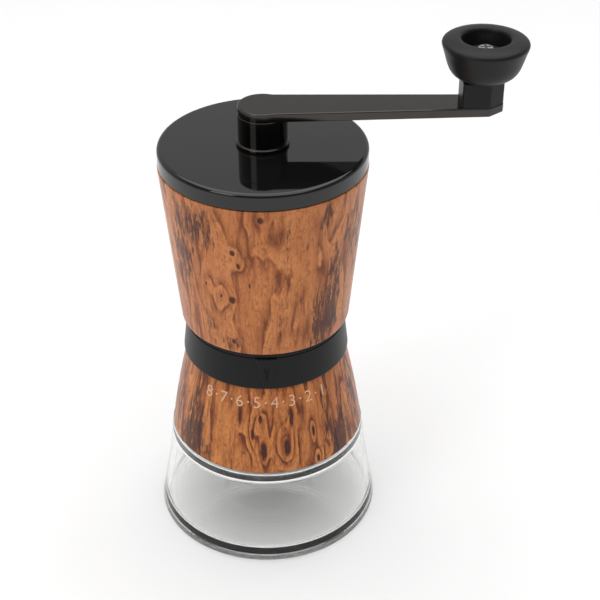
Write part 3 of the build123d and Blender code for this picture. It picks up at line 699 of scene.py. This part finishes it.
class Finish(Enum):
    """The grinder's finishes."""

    UPPER = UPPER_PRINT
    LOWER = LOWER_PRINT
    GLOSS = Plastic("gloss_black_lid", (0.004, 0.004, 0.004), 0.04, 0.03, relief=0.0)
    NICKEL = Metal("black_nickel_plate", (0.064, 0.059, 0.056), 0.12, 0.06, relief=0.0)
    SOFT = Plastic("soft_touch_black", (0.005, 0.005, 0.005), 0.42, 0.08, relief=0.02, level=0.26)
    RING = Plastic("satin_ring_black", (0.006, 0.006, 0.0065), 0.38, 0.08, relief=0.015, level=0.2)
    INNER = Plastic("moulded_black", (0.015, 0.015, 0.016), 0.48, 0.12, relief=0.03)
    GLASS = Glass("clear_jar_glass", (0.975, 0.98, 0.972), (0.88, 0.88, 0.875))
    RUBBER = Plastic("black_seal_rubber", (0.025, 0.025, 0.025), 0.72, 0.12, relief=0.04, level=0.35)
    BRONZE = Metal("sintered_bronze", (0.56, 0.38, 0.19), 0.42)
    BURR = Metal("ground_burr_steel", (0.38, 0.38, 0.39), 0.34)
    STEEL = Metal("bright_steel", (0.66, 0.66, 0.65), 0.22)
    INK = Plastic("dial_ink", (0.72, 0.44, 0.28), 0.50, 0.05, relief=0.0)


# ------------------------------------------------------------------------------------ shapes
@dataclass(frozen=True)
class Corner:
    """Corner of a turned profile: radius and height in millimetres, with its rounding."""

    r: float
    z: float
    round: float = 0.0


def rounded(corners: Sequence[Corner], segments: int = 6) -> list[Vector]:
    """Points of a closed outline with its corners rounded.

    Args:
        corners: The outline's corners, in order.
        segments: Pieces each rounding is cut into.

    Returns:
        Points in millimetres.
    """
    points = []
    for index, corner in enumerate(corners):
        here = Vector((corner.r, corner.z))
        if not corner.round:
            points.append(here)
            continue
        others = (corners[index - 1], corners[(index + 1) % len(corners)])
        before, after = ((Vector((other.r, other.z)) - here).normalized() for other in others)
        half = before.angle(after) / 2
        centre = here + (before + after).normalized() * corner.round / math.sin(half)
        reach = corner.round / math.tan(half)
        start, end = here + before * reach - centre, here + after * reach - centre
        for step in range(segments + 1):
            points.append(centre + start.slerp(end, step / segments).normalized() * corner.round)
    return points


class Mesh:
    """A bmesh being shaped, in metres."""

    def __init__(self) -> None:
        """Start empty."""
        self.bm = bmesh.new()

    def turn(
        self, corners: Sequence[Corner], steps: int = 224, axis: tuple[float, float] = (0.0, 0.0)
    ) -> "Mesh":
        """Turn a closed profile round an upright axis.

        Args:
            corners: The profile, in order.
            steps: Faces round the circle.
            axis: Where the axis stands, x and y in millimetres.

        Returns:
            This mesh.
        """
        profile = bmesh.new()
        verts = [profile.verts.new((point.x * MM, 0, point.y * MM)) for point in rounded(corners)]
        for first, second in zip(verts, verts[1:] + verts[:1]):
            if max(first.co.x, second.co.x) > 1e-7:
                profile.edges.new((first, second))
        bmesh.ops.spin(
            profile, geom=profile.verts[:] + profile.edges[:], cent=(0, 0, 0), axis=(0, 0, 1),
            angle=2 * math.pi, steps=steps, use_merge=True, use_duplicate=False,
        )
        bmesh.ops.remove_doubles(profile, verts=profile.verts, dist=1e-7)
        bmesh.ops.translate(profile, verts=profile.verts, vec=(axis[0] * MM, axis[1] * MM, 0))
        return self.take(profile)

    def prism(self, plan: Sequence[Corner], low: float, high: float) -> "Mesh":
        """Thicken a plan outline, its corners' r and z read as x and y, between two heights.

        Args:
            plan: The outline's corners, in order.
            low: Height of the underside in millimetres.
            high: Height of the top in millimetres.

        Returns:
            This mesh.
        """
        made = bmesh.new()
        verts = [made.verts.new((point.x * MM, point.y * MM, low * MM)) for point in rounded(plan)]
        made.faces.new(verts)
        grown = bmesh.ops.extrude_face_region(made, geom=made.faces[:], use_keep_orig=True)
        moved = [item for item in grown["geom"] if isinstance(item, bmesh.types.BMVert)]
        bmesh.ops.translate(made, verts=moved, vec=(0, 0, (high - low) * MM))
        return self.take(made)

    def soften(self, near: Callable[[Vector], bool], offset: float, segments: int = 3) -> "Mesh":
        """Bevel the sharp edges whose middle passes a test.

        Args:
            near: Test on an edge's middle, in metres.
            offset: Bevel width in millimetres.
            segments: Steps across the bevel.

        Returns:
            This mesh.
        """
        picked = [
            edge for edge in self.bm.edges
            if edge.calc_face_angle(0) > 0.6 and near((edge.verts[0].co + edge.verts[1].co) / 2)
        ]
        bmesh.ops.bevel(
            self.bm, geom=picked, offset=offset * MM, segments=segments,
            profile=0.5, affect="EDGES", material=-1,
        )
        return self

    def ridge(
        self, section: Sequence[tuple[float, float]], turns: float, pitch: float, steps: int = 200
    ) -> "Mesh":
        """Sweep a closed (radius, height) section along a helix, its ends capped.

        Args:
            section: Corners as radius and height in millimetres.
            turns: Number of turns.
            pitch: Rise per turn in millimetres.
            steps: Faces along the helix.

        Returns:
            This mesh.
        """
        made = bmesh.new()
        verts = [made.verts.new((r * MM, 0, z * MM)) for r, z in section]
        made.faces.new(verts)
        bmesh.ops.spin(
            made, geom=made.faces[:], cent=(0, 0, 0), axis=(0, 0, 1), dvec=(0, 0, pitch * turns * MM / steps),
            angle=2 * math.pi * turns, steps=steps, use_merge=False, use_duplicate=False,
        )
        return self.take(made)

    def take(self, other: bmesh.types.BMesh) -> "Mesh":
        """Move another bmesh's geometry into this one, its faces turned outwards.

        Args:
            other: Geometry to add; it is used up.

        Returns:
            This mesh.
        """
        bmesh.ops.recalc_face_normals(other, faces=other.faces)
        kept = bpy.data.meshes.new("part")
        other.to_mesh(kept)
        other.free()
        self.bm.from_mesh(kept)
        bpy.data.meshes.remove(kept)
        return self

    def to_object(self, name: str, finish: Finish) -> bpy.types.Object:
        """Close the mesh and put it in the scene as one object with one material.

        Args:
            name: The object's name.
            finish: Its finish.

        Returns:
            The object.
        """
        data = bpy.data.meshes.new(name)
        self.bm.to_mesh(data)
        self.bm.free()
        data.materials.append(MATERIALS[finish])
        data.polygons.foreach_set("use_smooth", [True] * len(data.polygons))
        made = bpy.data.objects.new(name, data)
        bpy.context.scene.collection.objects.link(made)
        return made


def fuse(piece: bpy.types.Object, extra: bpy.types.Object) -> None:
    """Join another closed mesh to a piece and drop the other.

    Args:
        piece: Object that keeps the joined mesh.
        extra: Object joined to it and then dropped.
    """
    union = piece.modifiers.new("union", "BOOLEAN")
    union.operation = "UNION"
    union.solver = "EXACT"
    union.object = extra
    view = bpy.context.evaluated_depsgraph_get()
    joined = bpy.data.meshes.new_from_object(piece.evaluated_get(view))
    piece.modifiers.clear()
    old, piece.data = piece.data, joined
    bpy.data.meshes.remove(old)
    bpy.data.objects.remove(extra)


def even_shade(piece: bpy.types.Object, sharp: float = 40.0) -> None:
    """Keep edges over an angle sharp and shade the rest by face area.

    Args:
        piece: Object to shade.
        sharp: Angle in degrees over which an edge stays sharp.
    """
    piece.data.set_sharp_from_angle(angle=math.radians(sharp))
    weighted = piece.modifiers.new("even", "WEIGHTED_NORMAL")
    weighted.keep_sharp = True
    weighted.weight = 100


# ------------------------------------------------------------------------------------ pieces
class Piece:
    """One visible piece that stands in for a CAD node on its body."""

    body = ""
    node = ""

    def make(self) -> bpy.types.Object:
        """Build the piece's object.

        Returns:
            The piece's object.
        """
        raise NotImplementedError

    def place(self) -> None:
        """Build the piece, put it on its body and drop the CAD node it stands for."""
        piece = self.make()
        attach(piece, self.body)
        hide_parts(self.node)
        LOG.info("%s: %d faces on %s", piece.name, len(piece.data.polygons), self.body)


@dataclass
class Jar(Piece):
    """Thick clear glass jar, its wall curved in a little, with a threaded neck and a punt below."""

    foot: float = 48.1
    shoulder: float = 41.4
    height: float = 43.4
    waist: float = 0.5
    neck: float = 33.06
    top: float = 54.5
    wall: float = 2.7
    floor: float = 4.0
    heel: float = 1.8
    thread: float = 1.1
    thread_z: float = 45.1
    turns: float = 1.25
    pitch: float = 5.0
    body = "jar"
    node = "glass_jar"

    def radius(self, z: float) -> float:
        """Outside radius at a height, in millimetres.

        Args:
            z: Height in millimetres.

        Returns:
            Radius in millimetres.
        """
        share = z / self.height
        return self.foot + (self.shoulder - self.foot) * share - 4 * self.waist * share * (1 - share)

    def wall_points(self, inset: float, low: float, high: float, steps: int) -> list[Corner]:
        """Corners up the curved wall, set in from it, between two heights.

        Args:
            inset: Distance in from the outside, in millimetres.
            low: Lowest height.
            high: Highest height.
            steps: Spaces between the corners.

        Returns:
            Corners from low to high.
        """
        levels = [low + (high - low) * step / steps for step in range(steps + 1)]
        return [Corner(self.radius(z) - inset, z) for z in levels]

    def make(self) -> bpy.types.Object:
        """Turn the glass, join its thread to it and shade it.

        Returns:
            The piece's object.
        """
        inside = self.neck - 3.0
        high = self.height - 2 * self.wall
        outer = self.wall_points(0.0, 4.0, self.height - 2.0, 40)
        inner = self.wall_points(self.wall, 9.0, self.height - 8.4, 34)
        profile = [
            Corner(0, 1.0), Corner(17.5, 1.0, 3.0), Corner(20.5, 0.25, 1.5), Corner(41.5, 0.25, 0.4),
            Corner(42.3, 0, 0.3), Corner(self.foot, 0, self.heel), *outer,
            Corner(self.shoulder, self.height, 0.8), Corner(self.neck, self.height, 0.3),
            Corner(self.neck, self.top, 0.8), Corner(inside, self.top, 0.8),
            Corner(inside, self.height - self.wall, 1.5),
            Corner(self.radius(high) - self.wall, high, 1.8), *reversed(inner),
            Corner(self.radius(self.floor) - self.wall, self.floor, 3.0), Corner(0, self.floor),
        ]
        glass = Mesh().turn(profile).to_object("jar_glass", Finish.GLASS)
        root, crest, low = self.neck - 0.5, self.neck + self.thread, self.thread_z
        section = [(root, low), (crest, low + 0.4), (crest, low + 1.6), (root, low + 2.0)]
        thread = Mesh().ridge(section, self.turns, self.pitch).to_object("jar_thread", Finish.GLASS)
        fuse(glass, thread)
        even_shade(glass)
        return glass


@dataclass
class LowerShell(Piece):
    """Lower wood print shell with the grind scale round its front."""

    low: float = 41.0
    top: float = 33.5
    z_low: float = 43.7
    z_top: float = 82.7
    wall: float = 2.2
    body = "housing"
    node = "lower_shell"

    def radius(self, z: float) -> float:
        """Outside radius at a height, in millimetres.

        Args:
            z: Height in millimetres.

        Returns:
            Radius in millimetres.
        """
        share = (z - self.z_low) / (self.z_top - self.z_low)
        return self.low + (self.top - self.low) * share + 0.5 * 4 * share * (1 - share)

    def make(self) -> bpy.types.Object:
        """Turn the shell.

        Returns:
            The piece's object.
        """
        levels = [self.z_low + (self.z_top - self.z_low) * step / 12 for step in range(1, 12)]
        profile = [
            Corner(self.low, self.z_low, 0.6), *(Corner(self.radius(z), z) for z in levels),
            Corner(self.top, self.z_top, 0.6), Corner(self.top - self.wall, self.z_top, 0.2),
            *(Corner(self.radius(z) - self.wall, z) for z in reversed(levels)),
            Corner(self.low - self.wall, self.z_low, 0.2),
        ]
        shell = Mesh().turn(profile).to_object("lower_wood", Finish.LOWER)
        even_shade(shell)
        return shell


@dataclass
class Scale:
    """Printed numbers and dots of the grind scale, bent onto the lower shell."""

    shell: LowerShell
    angles: tuple[float, ...] = (-42.3, -30.2, -18.7, -6.9, 5.1, 16.9, 28.9, 40.6)
    centre: float = 76.4
    tall: float = 5.2
    proud: float = 0.03

    def bend(self, piece: bpy.types.Object, turn: float) -> None:
        """Wrap a flat mesh, drawn in x and y millimetres, round the shell at an angle in degrees.

        Args:
            piece: Flat mark, drawn in x and y millimetres.
            turn: Degrees round from the dial's middle.
        """
        for vert in piece.data.vertices:
            z = self.centre + vert.co.y
            radius = self.shell.radius(z) + self.proud
            angle = math.radians(turn) + vert.co.x / radius
            vert.co = Vector((radius * math.sin(angle), -radius * math.cos(angle), z)) * MM

    def digit(self, text: str, turn: float) -> bpy.types.Object:
        """Make one number as a bent mesh.

        Args:
            text: The number.
            turn: Degrees round from the dial's middle.

        Returns:
            The bent mark.
        """
        curve = bpy.data.curves.new("digit_" + text, "FONT")
        curve.body = text
        curve.size = self.tall * 1.38
        curve.align_x = "CENTER"
        curve.align_y = "CENTER"
        curve.offset = -0.04
        curve.resolution_u = 6
        holder = bpy.data.objects.new("digit_" + text, curve)
        bpy.context.scene.collection.objects.link(holder)
        bpy.context.view_layer.update()
        flat = bpy.data.meshes.new_from_object(holder.evaluated_get(bpy.context.evaluated_depsgraph_get()))
        bpy.data.objects.remove(holder)
        bpy.data.curves.remove(curve)
        made = bpy.data.objects.new("scale_" + text, flat)
        spread = [[vert.co[way] for vert in flat.vertices] for way in (0, 1)]
        middle = [(max(values) + min(values)) / 2 for values in spread]
        flat.transform(Matrix.Translation((-middle[0], -middle[1], 0)))
        return self.finish(made, turn)

    def dot(self, name: str, turn: float) -> bpy.types.Object:
        """Make one round dot between two numbers.

        Args:
            name: The object's name.
            turn: Degrees round from the dial's middle.

        Returns:
            The bent mark.
        """
        disc = bmesh.new()
        bmesh.ops.create_circle(disc, cap_ends=True, radius=0.42, segments=24)
        flat = bpy.data.meshes.new(name)
        disc.to_mesh(flat)
        disc.free()
        return self.finish(bpy.data.objects.new(name, flat), turn)

    def finish(self, made: bpy.types.Object, turn: float) -> bpy.types.Object:
        """Cut a flat mark finely, bend it and colour it.

        Args:
            made: Flat mark.
            turn: Degrees round from the dial's middle.

        Returns:
            The same mark, bent and coloured.
        """
        cut = bmesh.new()
        cut.from_mesh(made.data)
        for step in range(-8, 9):
            everything = cut.verts[:] + cut.edges[:] + cut.faces[:]
            bmesh.ops.bisect_plane(cut, geom=everything, plane_co=(step * 0.25, 0, 0), plane_no=(1, 0, 0))
        bmesh.ops.triangulate(cut, faces=cut.faces[:])
        cut.to_mesh(made.data)
        cut.free()
        self.bend(made, turn)
        made.data.materials.clear()
        made.data.materials.append(MATERIALS[Finish.INK])
        bpy.context.scene.collection.objects.link(made)
        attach(made, "housing")
        return made

    def place(self) -> None:
        """Put every number and dot on the shell."""
        for index, turn in enumerate(self.angles):
            self.digit(str(len(self.angles) - index), turn)
        for index, (left, right) in enumerate(zip(self.angles, self.angles[1:])):
            self.dot(f"scale_dot_{index}", (left + right) / 2)
        LOG.info("scale: %d numbers", len(self.angles))


@dataclass
class UpperShell(Piece):
    """Upper wood print shell, flaring upwards, its foot rounded."""

    low: float = 34.7
    top: float = 41.6
    z_low: float = 99.6
    z_top: float = 169.5
    wall: float = 2.2
    body = "housing"
    node = "upper_shell"

    def make(self) -> bpy.types.Object:
        """Turn the shell.

        Returns:
            The piece's object.
        """
        profile = [
            Corner(self.low, self.z_low, 1.8), Corner(self.top, self.z_top, 0.5),
            Corner(self.top - self.wall, self.z_top, 0.3), Corner(self.low - self.wall, self.z_low, 0.2),
        ]
        shell = Mesh().turn(profile).to_object("upper_wood", Finish.UPPER)
        even_shade(shell)
        return shell


@dataclass
class Ring(Piece):
    """Grind adjusting ring with its raised pointer."""

    inner: float = 28.7
    low: float = 34.7
    top: float = 32.8
    z_low: float = 83.0
    z_top: float = 99.3
    groove: float = 31.0
    groove_low: float = 86.6
    groove_high: float = 92.4
    body = "ring"
    node = "adjusting_ring"

    def radius(self, z: float) -> float:
        """Outside radius at a height, in millimetres.

        Args:
            z: Height in millimetres.

        Returns:
            Radius in millimetres.
        """
        return self.low + (self.top - self.low) * (z - self.z_low) / (self.z_top - self.z_low)

    def make(self) -> bpy.types.Object:
        """Turn the ring with its cam groove, add the pointer and its mark.

        Returns:
            The piece's object.
        """
        lip = self.z_top - 1.9
        shape = Mesh().turn([
            Corner(self.inner, self.z_low, 0.3), Corner(self.low, self.z_low, 0.6),
            Corner(self.radius(lip - 0.35), lip - 0.35, 0.1), Corner(self.radius(lip) - 0.3, lip - 0.15),
            Corner(self.radius(lip) - 0.3, lip + 0.15), Corner(self.radius(lip + 0.35), lip + 0.35, 0.1),
            Corner(self.top, self.z_top, 0.5), Corner(self.inner, self.z_top, 0.3),
            Corner(self.inner, self.groove_high), Corner(self.groove, self.groove_high),
            Corner(self.groove, self.groove_low), Corner(self.inner, self.groove_low),
        ])
        self.raised(shape, [(-1.5, 84.6), (1.5, 84.6), (4.3, 97.2), (-4.3, 97.2)], 0.7, 0.45)
        for side in (-1, 1):
            stroke = [(0, 86.9), (side * 1.1, 92.9), (side * 0.68, 92.9), (0, 88.6)]
            self.raised(shape, stroke, 1.1, 0.2)
        ring = shape.to_object("ring_with_pointer", Finish.RING)
        even_shade(ring)
        return ring

    def raised(self, shape: Mesh, outline: Sequence[tuple[float, float]], height: float, edge: float) -> None:
        """Raise a flat outline off the ring's front and bend it to fit.

        Args:
            shape: Mesh it is added to.
            outline: Corners as x and z in millimetres.
            height: How far it stands out.
            edge: Width of its bevelled edge.
        """
        plate = bmesh.new()
        face = plate.faces.new([plate.verts.new((x, 0, z)) for x, z in outline])
        grown = bmesh.ops.extrude_face_region(plate, geom=[face], use_keep_orig=True)
        front = [item for item in grown["geom"] if isinstance(item, bmesh.types.BMVert)]
        bmesh.ops.translate(plate, verts=front, vec=(0, -(height + SUNK), 0))
        rim = [side for side in plate.edges if all(vert in front for vert in side.verts)]
        bmesh.ops.bevel(plate, geom=rim, offset=edge, segments=3, profile=0.5, affect="EDGES", material=-1)
        for step in range(-4, 5):
            everything = plate.verts[:] + plate.edges[:] + plate.faces[:]
            bmesh.ops.bisect_plane(plate, geom=everything, plane_co=(step * 0.9, 0, 0), plane_no=(1, 0, 0))
        for vert in plate.verts:
            radius = self.radius(vert.co.z) - SUNK - vert.co.y
            angle = vert.co.x / radius
            vert.co = Vector((radius * math.sin(angle), -radius * math.cos(angle), vert.co.z)) * MM
        shape.take(plate)


@dataclass
class Lid(Piece):
    """Glossy black lid with its plug, seal groove and boss."""

    radius: float = 41.4
    z_low: float = 169.8
    z_top: float = 176.8
    plug: float = 35.65
    foot: float = 162.5
    bore: float = 9.65
    body = "lid"
    node = "lid"

    def make(self) -> bpy.types.Object:
        """Turn the lid.

        Returns:
            The piece's object.
        """
        roof = self.z_top - 3.0
        lid = Mesh().turn([
            Corner(self.bore, 167.2), Corner(12.5, 167.2, 0.4), Corner(12.5, roof, 0.4),
            Corner(self.plug - 2.2, roof, 0.8), Corner(self.plug - 2.2, self.foot, 0.4),
            Corner(self.plug, self.foot, 0.4),
            Corner(self.plug, 165.5), Corner(self.plug - 0.8, 165.5), Corner(self.plug - 0.8, 167.5),
            Corner(self.plug, 167.5), Corner(self.plug, self.z_low, 0.2),
            Corner(self.radius, self.z_low, 0.5),
            Corner(self.radius, self.z_top, 1.7), Corner(self.bore, self.z_top, 0.3),
        ]).to_object("lid_gloss", Finish.GLOSS)
        even_shade(lid)
        return lid


@dataclass
class Hub(Piece):
    """Plated crank hub that turns in the lid."""

    radius: float = 9.7
    flange: float = 10.4
    stem: float = 8.0
    socket: float = 6.2
    socket_top: float = 180.75
    hole: float = 2.55
    z_flange: float = 177.1
    z_top: float = 189.75
    body = "crank"
    node = "crank_hub"

    def make(self) -> bpy.types.Object:
        """Turn the hub.

        Returns:
            The piece's object.
        """
        hub = Mesh().turn([
            Corner(self.socket, 162.3, 0.2), Corner(self.stem, 162.3, 0.3), Corner(self.stem, 164.5),
            Corner(self.stem - 0.8, 164.5), Corner(self.stem - 0.8, 165.7), Corner(self.stem, 165.7),
            Corner(self.stem, self.z_flange, 0.1), Corner(self.flange, self.z_flange, 0.2),
            Corner(self.flange, self.z_flange + 1.3, 0.4), Corner(self.radius, self.z_flange + 1.3, 0.2),
            Corner(self.radius, self.z_top, 0.2), Corner(self.hole, self.z_top),
            Corner(self.hole, self.socket_top), Corner(self.socket, self.socket_top),
        ], steps=128).to_object("hub_plated", Finish.NICKEL)
        even_shade(hub)
        return hub


@dataclass
class Arm(Piece):
    """Flat tapering crank arm with a round head over the hub."""

    z_low: float = 189.75
    z_top: float = 193.35
    head: float = 9.6
    length: float = 84.0
    body = "crank"
    node = "crank_arm"

    def make(self) -> bpy.types.Object:
        """Cut the plan outline, thicken it and soften its edges.

        Returns:
            The piece's object.
        """
        tip = self.length + 8.3
        outline = [
            Corner(tip - 5.9, -6.5, 1.7), Corner(tip, -1.8, 1.7),
            Corner(tip, 1.8, 1.7), Corner(tip - 5.9, 6.5, 1.7),
        ]
        start = math.radians(66.3)
        for step in range(61):
            angle = start + (2 * math.pi - 2 * start) * step / 60
            outline.append(Corner(self.head * math.cos(angle), self.head * math.sin(angle)))
        shape = Mesh().prism(outline, self.z_low, self.z_top)
        top, low = self.z_top * MM, self.z_low * MM
        shape.soften(lambda middle: abs(middle.z - top) < 1e-6, 0.55, 4)
        shape.soften(lambda middle: abs(middle.z - low) < 1e-6, 0.30, 2)
        arm = shape.to_object("arm_plated", Finish.NICKEL)
        even_shade(arm, 60)
        return arm


@dataclass
class Block(Piece):
    """Dark block between the arm's end and the knob."""

    z_low: float = 193.35
    z_top: float = 203.4
    length: float = 84.0
    body = "crank"
    node = "knob_block"

    def make(self) -> bpy.types.Object:
        """Cut the plan outline, thicken it and soften its edges.

        Returns:
            The piece's object.
        """
        back, tip = self.length - 8.3, self.length + 8.15
        outline = [
            Corner(back, -6.35, 1.0), Corner(tip - 5.9, -6.35, 1.6), Corner(tip, -1.8, 1.6),
            Corner(tip, 1.8, 1.6), Corner(tip - 5.9, 6.35, 1.6), Corner(back, 6.35, 1.0),
        ]
        shape = Mesh().prism(outline, self.z_low, self.z_top)
        top = self.z_top * MM
        shape.soften(lambda middle: abs(middle.z - top) < 1e-6, 0.5, 3)
        block = shape.to_object("block_soft", Finish.SOFT)
        even_shade(block, 60)
        return block


@dataclass
class Knob(Piece):
    """Soft black bowl-shaped knob with a well for its screw."""

    foot: float = 8.6
    widest: float = 16.6
    well: float = 9.0
    z_low: float = 203.7
    z_top: float = 219.7
    axis: float = 84.0
    body = "knob"
    node = "knob"

    def rise(self, *points: tuple[float, float]) -> list[Corner]:
        """Corners at radii and heights above the knob's foot.

        Args:
            *points: Radius and height above the foot, in millimetres.

        Returns:
            The corners.
        """
        return [Corner(r, self.z_low + up) for r, up in points]

    def make(self) -> bpy.types.Object:
        """Turn the bowl round the knob's own axis.

        Returns:
            The piece's object.
        """
        floor = self.z_top - 7.2
        side = [
            Corner(self.foot, self.z_low, 0.4),
            *self.rise((10.6, 0.75), (12.2, 1.95), (13.35, 3.5), (14.2, 5.5)),
            *self.rise((14.85, 7.6), (15.45, 9.8), (16.0, 11.5)),
        ]
        crown = self.rise(
            (16.45, 12.8), (self.widest, 13.4), (16.45, 14.05), (15.95, 14.6), (15.0, 15.05), (13.6, 15.5),
            (12.0, 15.85), (10.9, 16.0), (10.1, 15.9), (9.55, 15.55), (9.15, 14.95), (self.well, 14.2),
        )
        bore = [Corner(self.well - 0.6, floor, 0.8), Corner(2.35, floor), Corner(2.35, self.z_low)]
        knob = Mesh().turn([*side, *crown, *bore], 128, (self.axis, 0.0)).to_object("knob_soft", Finish.SOFT)
        knob.modifiers.new("round", "SUBSURF").levels = 1
        knob.modifiers["round"].render_levels = 1
        even_shade(knob, 50)
        return knob


@dataclass
class Spring(Piece):
    """Coil spring over the burr carrier, drawn at one length; the ring presses the real one shorter as it
    moves the carrier.
    """

    radius: float = 24.425
    wire: float = 0.55
    z_low: float = 92.9
    z_high: float = 97.0
    turns: float = 2.0
    travel: float = 0.6
    body = "carrier"
    node = "burr_spring"

    def make(self) -> bpy.types.Object:
        """Sweep the wire along its helix.

        Returns:
            The piece's object.
        """
        section = []
        for step in range(12):
            angle = 2 * math.pi * step / 12
            across, up = self.wire * math.cos(angle), self.wire * math.sin(angle)
            section.append((self.radius + across, self.z_low + up))
        coil = Mesh().ridge(section, self.turns, (self.z_high - self.z_low) / self.turns, 192)
        return coil.to_object("coil_spring", Finish.STEEL)

    def place(self) -> None:
        """Put the spring on its body and give it a mesh of its own."""
        super().place()
        coil = bpy.data.objects["coil_spring"]
        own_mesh(coil)


# ------------------------------------------------------------------------------------ the rest
INSIDE: dict[Finish, tuple[str, ...]] = {
    Finish.INNER: ("hopper", "shaft_bridge", "core_tube", "jar_socket", "lower_spider", "burr_carrier"),
    Finish.RUBBER: ("jar_gasket", "lid_seal"),
    Finish.BRONZE: ("upper_bush", "lower_bush", "lid_bush"),
    Finish.BURR: ("inner_burr", "outer_burr"),
    Finish.STEEL: (
        "drive_shaft", "drive_socket", "hub_screw", "hub_clip", "knob_screw", "knob_washer", "burr_nut",
        "burr_washer", "thrust_washer", "shaft_clip", "burr_clip", "cam_pins", "spider_screws",
    ),
}


def finish_inside() -> None:
    """Give every CAD node that stays in view its finish."""
    for finish, names in INSIDE.items():
        for name in names:
            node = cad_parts[name]
            node.data.materials.clear()
            node.data.materials.append(MATERIALS[finish])
        LOG.info("%s: %d nodes", finish.name, len(names))


def floor_material() -> bpy.types.Material:
    """Pale matt paper with a faint unevenness.

    Returns:
        The material.
    """
    made, g, shader, point = new_material("pale_paper")
    grain = g.noise(point, 9.0, 3.0)
    g.feed(shader.inputs["Base Color"], g.mix(grain, (0.86, 0.86, 0.86), (0.90, 0.90, 0.90)))
    shader.inputs["Roughness"].default_value = 0.8
    shader.inputs["Specular IOR Level"].default_value = 0.2
    return made


@dataclass(frozen=True)
class Softbox:
    """A square area light aimed at the grinder's middle."""

    name: str
    place: tuple[float, float, float]
    size: float
    power: float

    def add(self) -> None:
        """Put the light in the scene."""
        lamp = bpy.data.lights.new(self.name, "AREA")
        lamp.size = self.size
        lamp.energy = self.power
        made = bpy.data.objects.new(self.name, lamp)
        made.location = self.place
        way = AIM - made.location
        made.rotation_euler = way.to_track_quat("-Z", "Y").to_euler()
        bpy.context.scene.collection.objects.link(made)


FLOOR_HALF = 12.0
AIM = Vector((0.0, 0.0, 0.1))
LIGHTS = (
    Softbox("overhead", (0.0, 0.0, 1.6), 2.4, 34.0),
    Softbox("key", (-0.9, -0.9, 0.9), 0.6, 3.0),
)


def white_room() -> bpy.types.World:
    """White surroundings, brightest behind the grinder and dimmer towards the camera.

    Returns:
        The world.
    """
    world = bpy.data.worlds.new("white_room")
    world.use_nodes = True
    g = Graph(world.node_tree)
    way = g.node("SeparateXYZ")
    g.feed(way.inputs[0], g.node("TexCoord").outputs["Generated"])
    behind = g.smooth(way.outputs[1], -0.4, 0.6)
    g.feed(world.node_tree.nodes["Background"].inputs["Strength"], g.spread(behind, 0.22, 0.62))
    world.node_tree.nodes["Background"].inputs["Color"].default_value = (1.0, 1.0, 1.0, 1.0)
    return world


def set_stage() -> None:
    """Floor, white surroundings and lights."""
    sheet = bpy.data.meshes.new("floor")
    plane = bmesh.new()
    bmesh.ops.create_grid(plane, x_segments=1, y_segments=1, size=FLOOR_HALF)
    plane.to_mesh(sheet)
    plane.free()
    sheet.materials.append(floor_material())
    floor = bpy.data.objects.new("floor", sheet)
    bpy.context.scene.collection.objects.link(floor)
    bpy.context.scene.world = white_room()
    for light in LIGHTS:
        light.add()
    LOG.info("stage: floor and %d lights", len(LIGHTS))


@dataclass(frozen=True)
class View:
    """The camera's place in metres, its turn in degrees and its lens in millimetres."""

    place: tuple[float, float, float] = (0.0, -0.486, 0.428)
    tilt: float = 56.25
    pan: float = -1.70
    focal: float = 84.0
    sensor: float = 36.0


def set_camera(view: View) -> None:
    """Camera above the front, looking down at the grinder.

    Args:
        view: Where the camera stands and how it looks.
    """
    lens = bpy.data.cameras.new("camera")
    lens.lens = view.focal
    lens.sensor_width = view.sensor
    lens.clip_start = 0.01
    lens.dof.use_dof = False
    eye = bpy.data.objects.new("camera", lens)
    eye.location = view.place
    eye.rotation_euler = (math.radians(view.tilt), 0, math.radians(view.pan))
    bpy.context.scene.collection.objects.link(eye)
    bpy.context.scene.camera = eye
    bpy.context.scene.view_settings.view_transform = "Standard"


MATERIALS: dict[Finish, bpy.types.Material] = {}


def main() -> None:
    """Build every piece, give the inside nodes their finishes, then set the stage and the camera."""
    logging.basicConfig(level=logging.INFO, format="%(name)s %(message)s")
    effects = Effects()
    for finish in Finish:
        MATERIALS[finish] = finish.value.build(effects)
    lower = LowerShell()
    for piece in (Jar(), lower, Ring(), UpperShell(), Lid(), Hub(), Arm(), Block(), Knob(), Spring()):
        piece.place()
    Scale(lower).place()
    finish_inside()
    set_stage()
    set_camera(View())


if __name__ == "__main__":
    main()
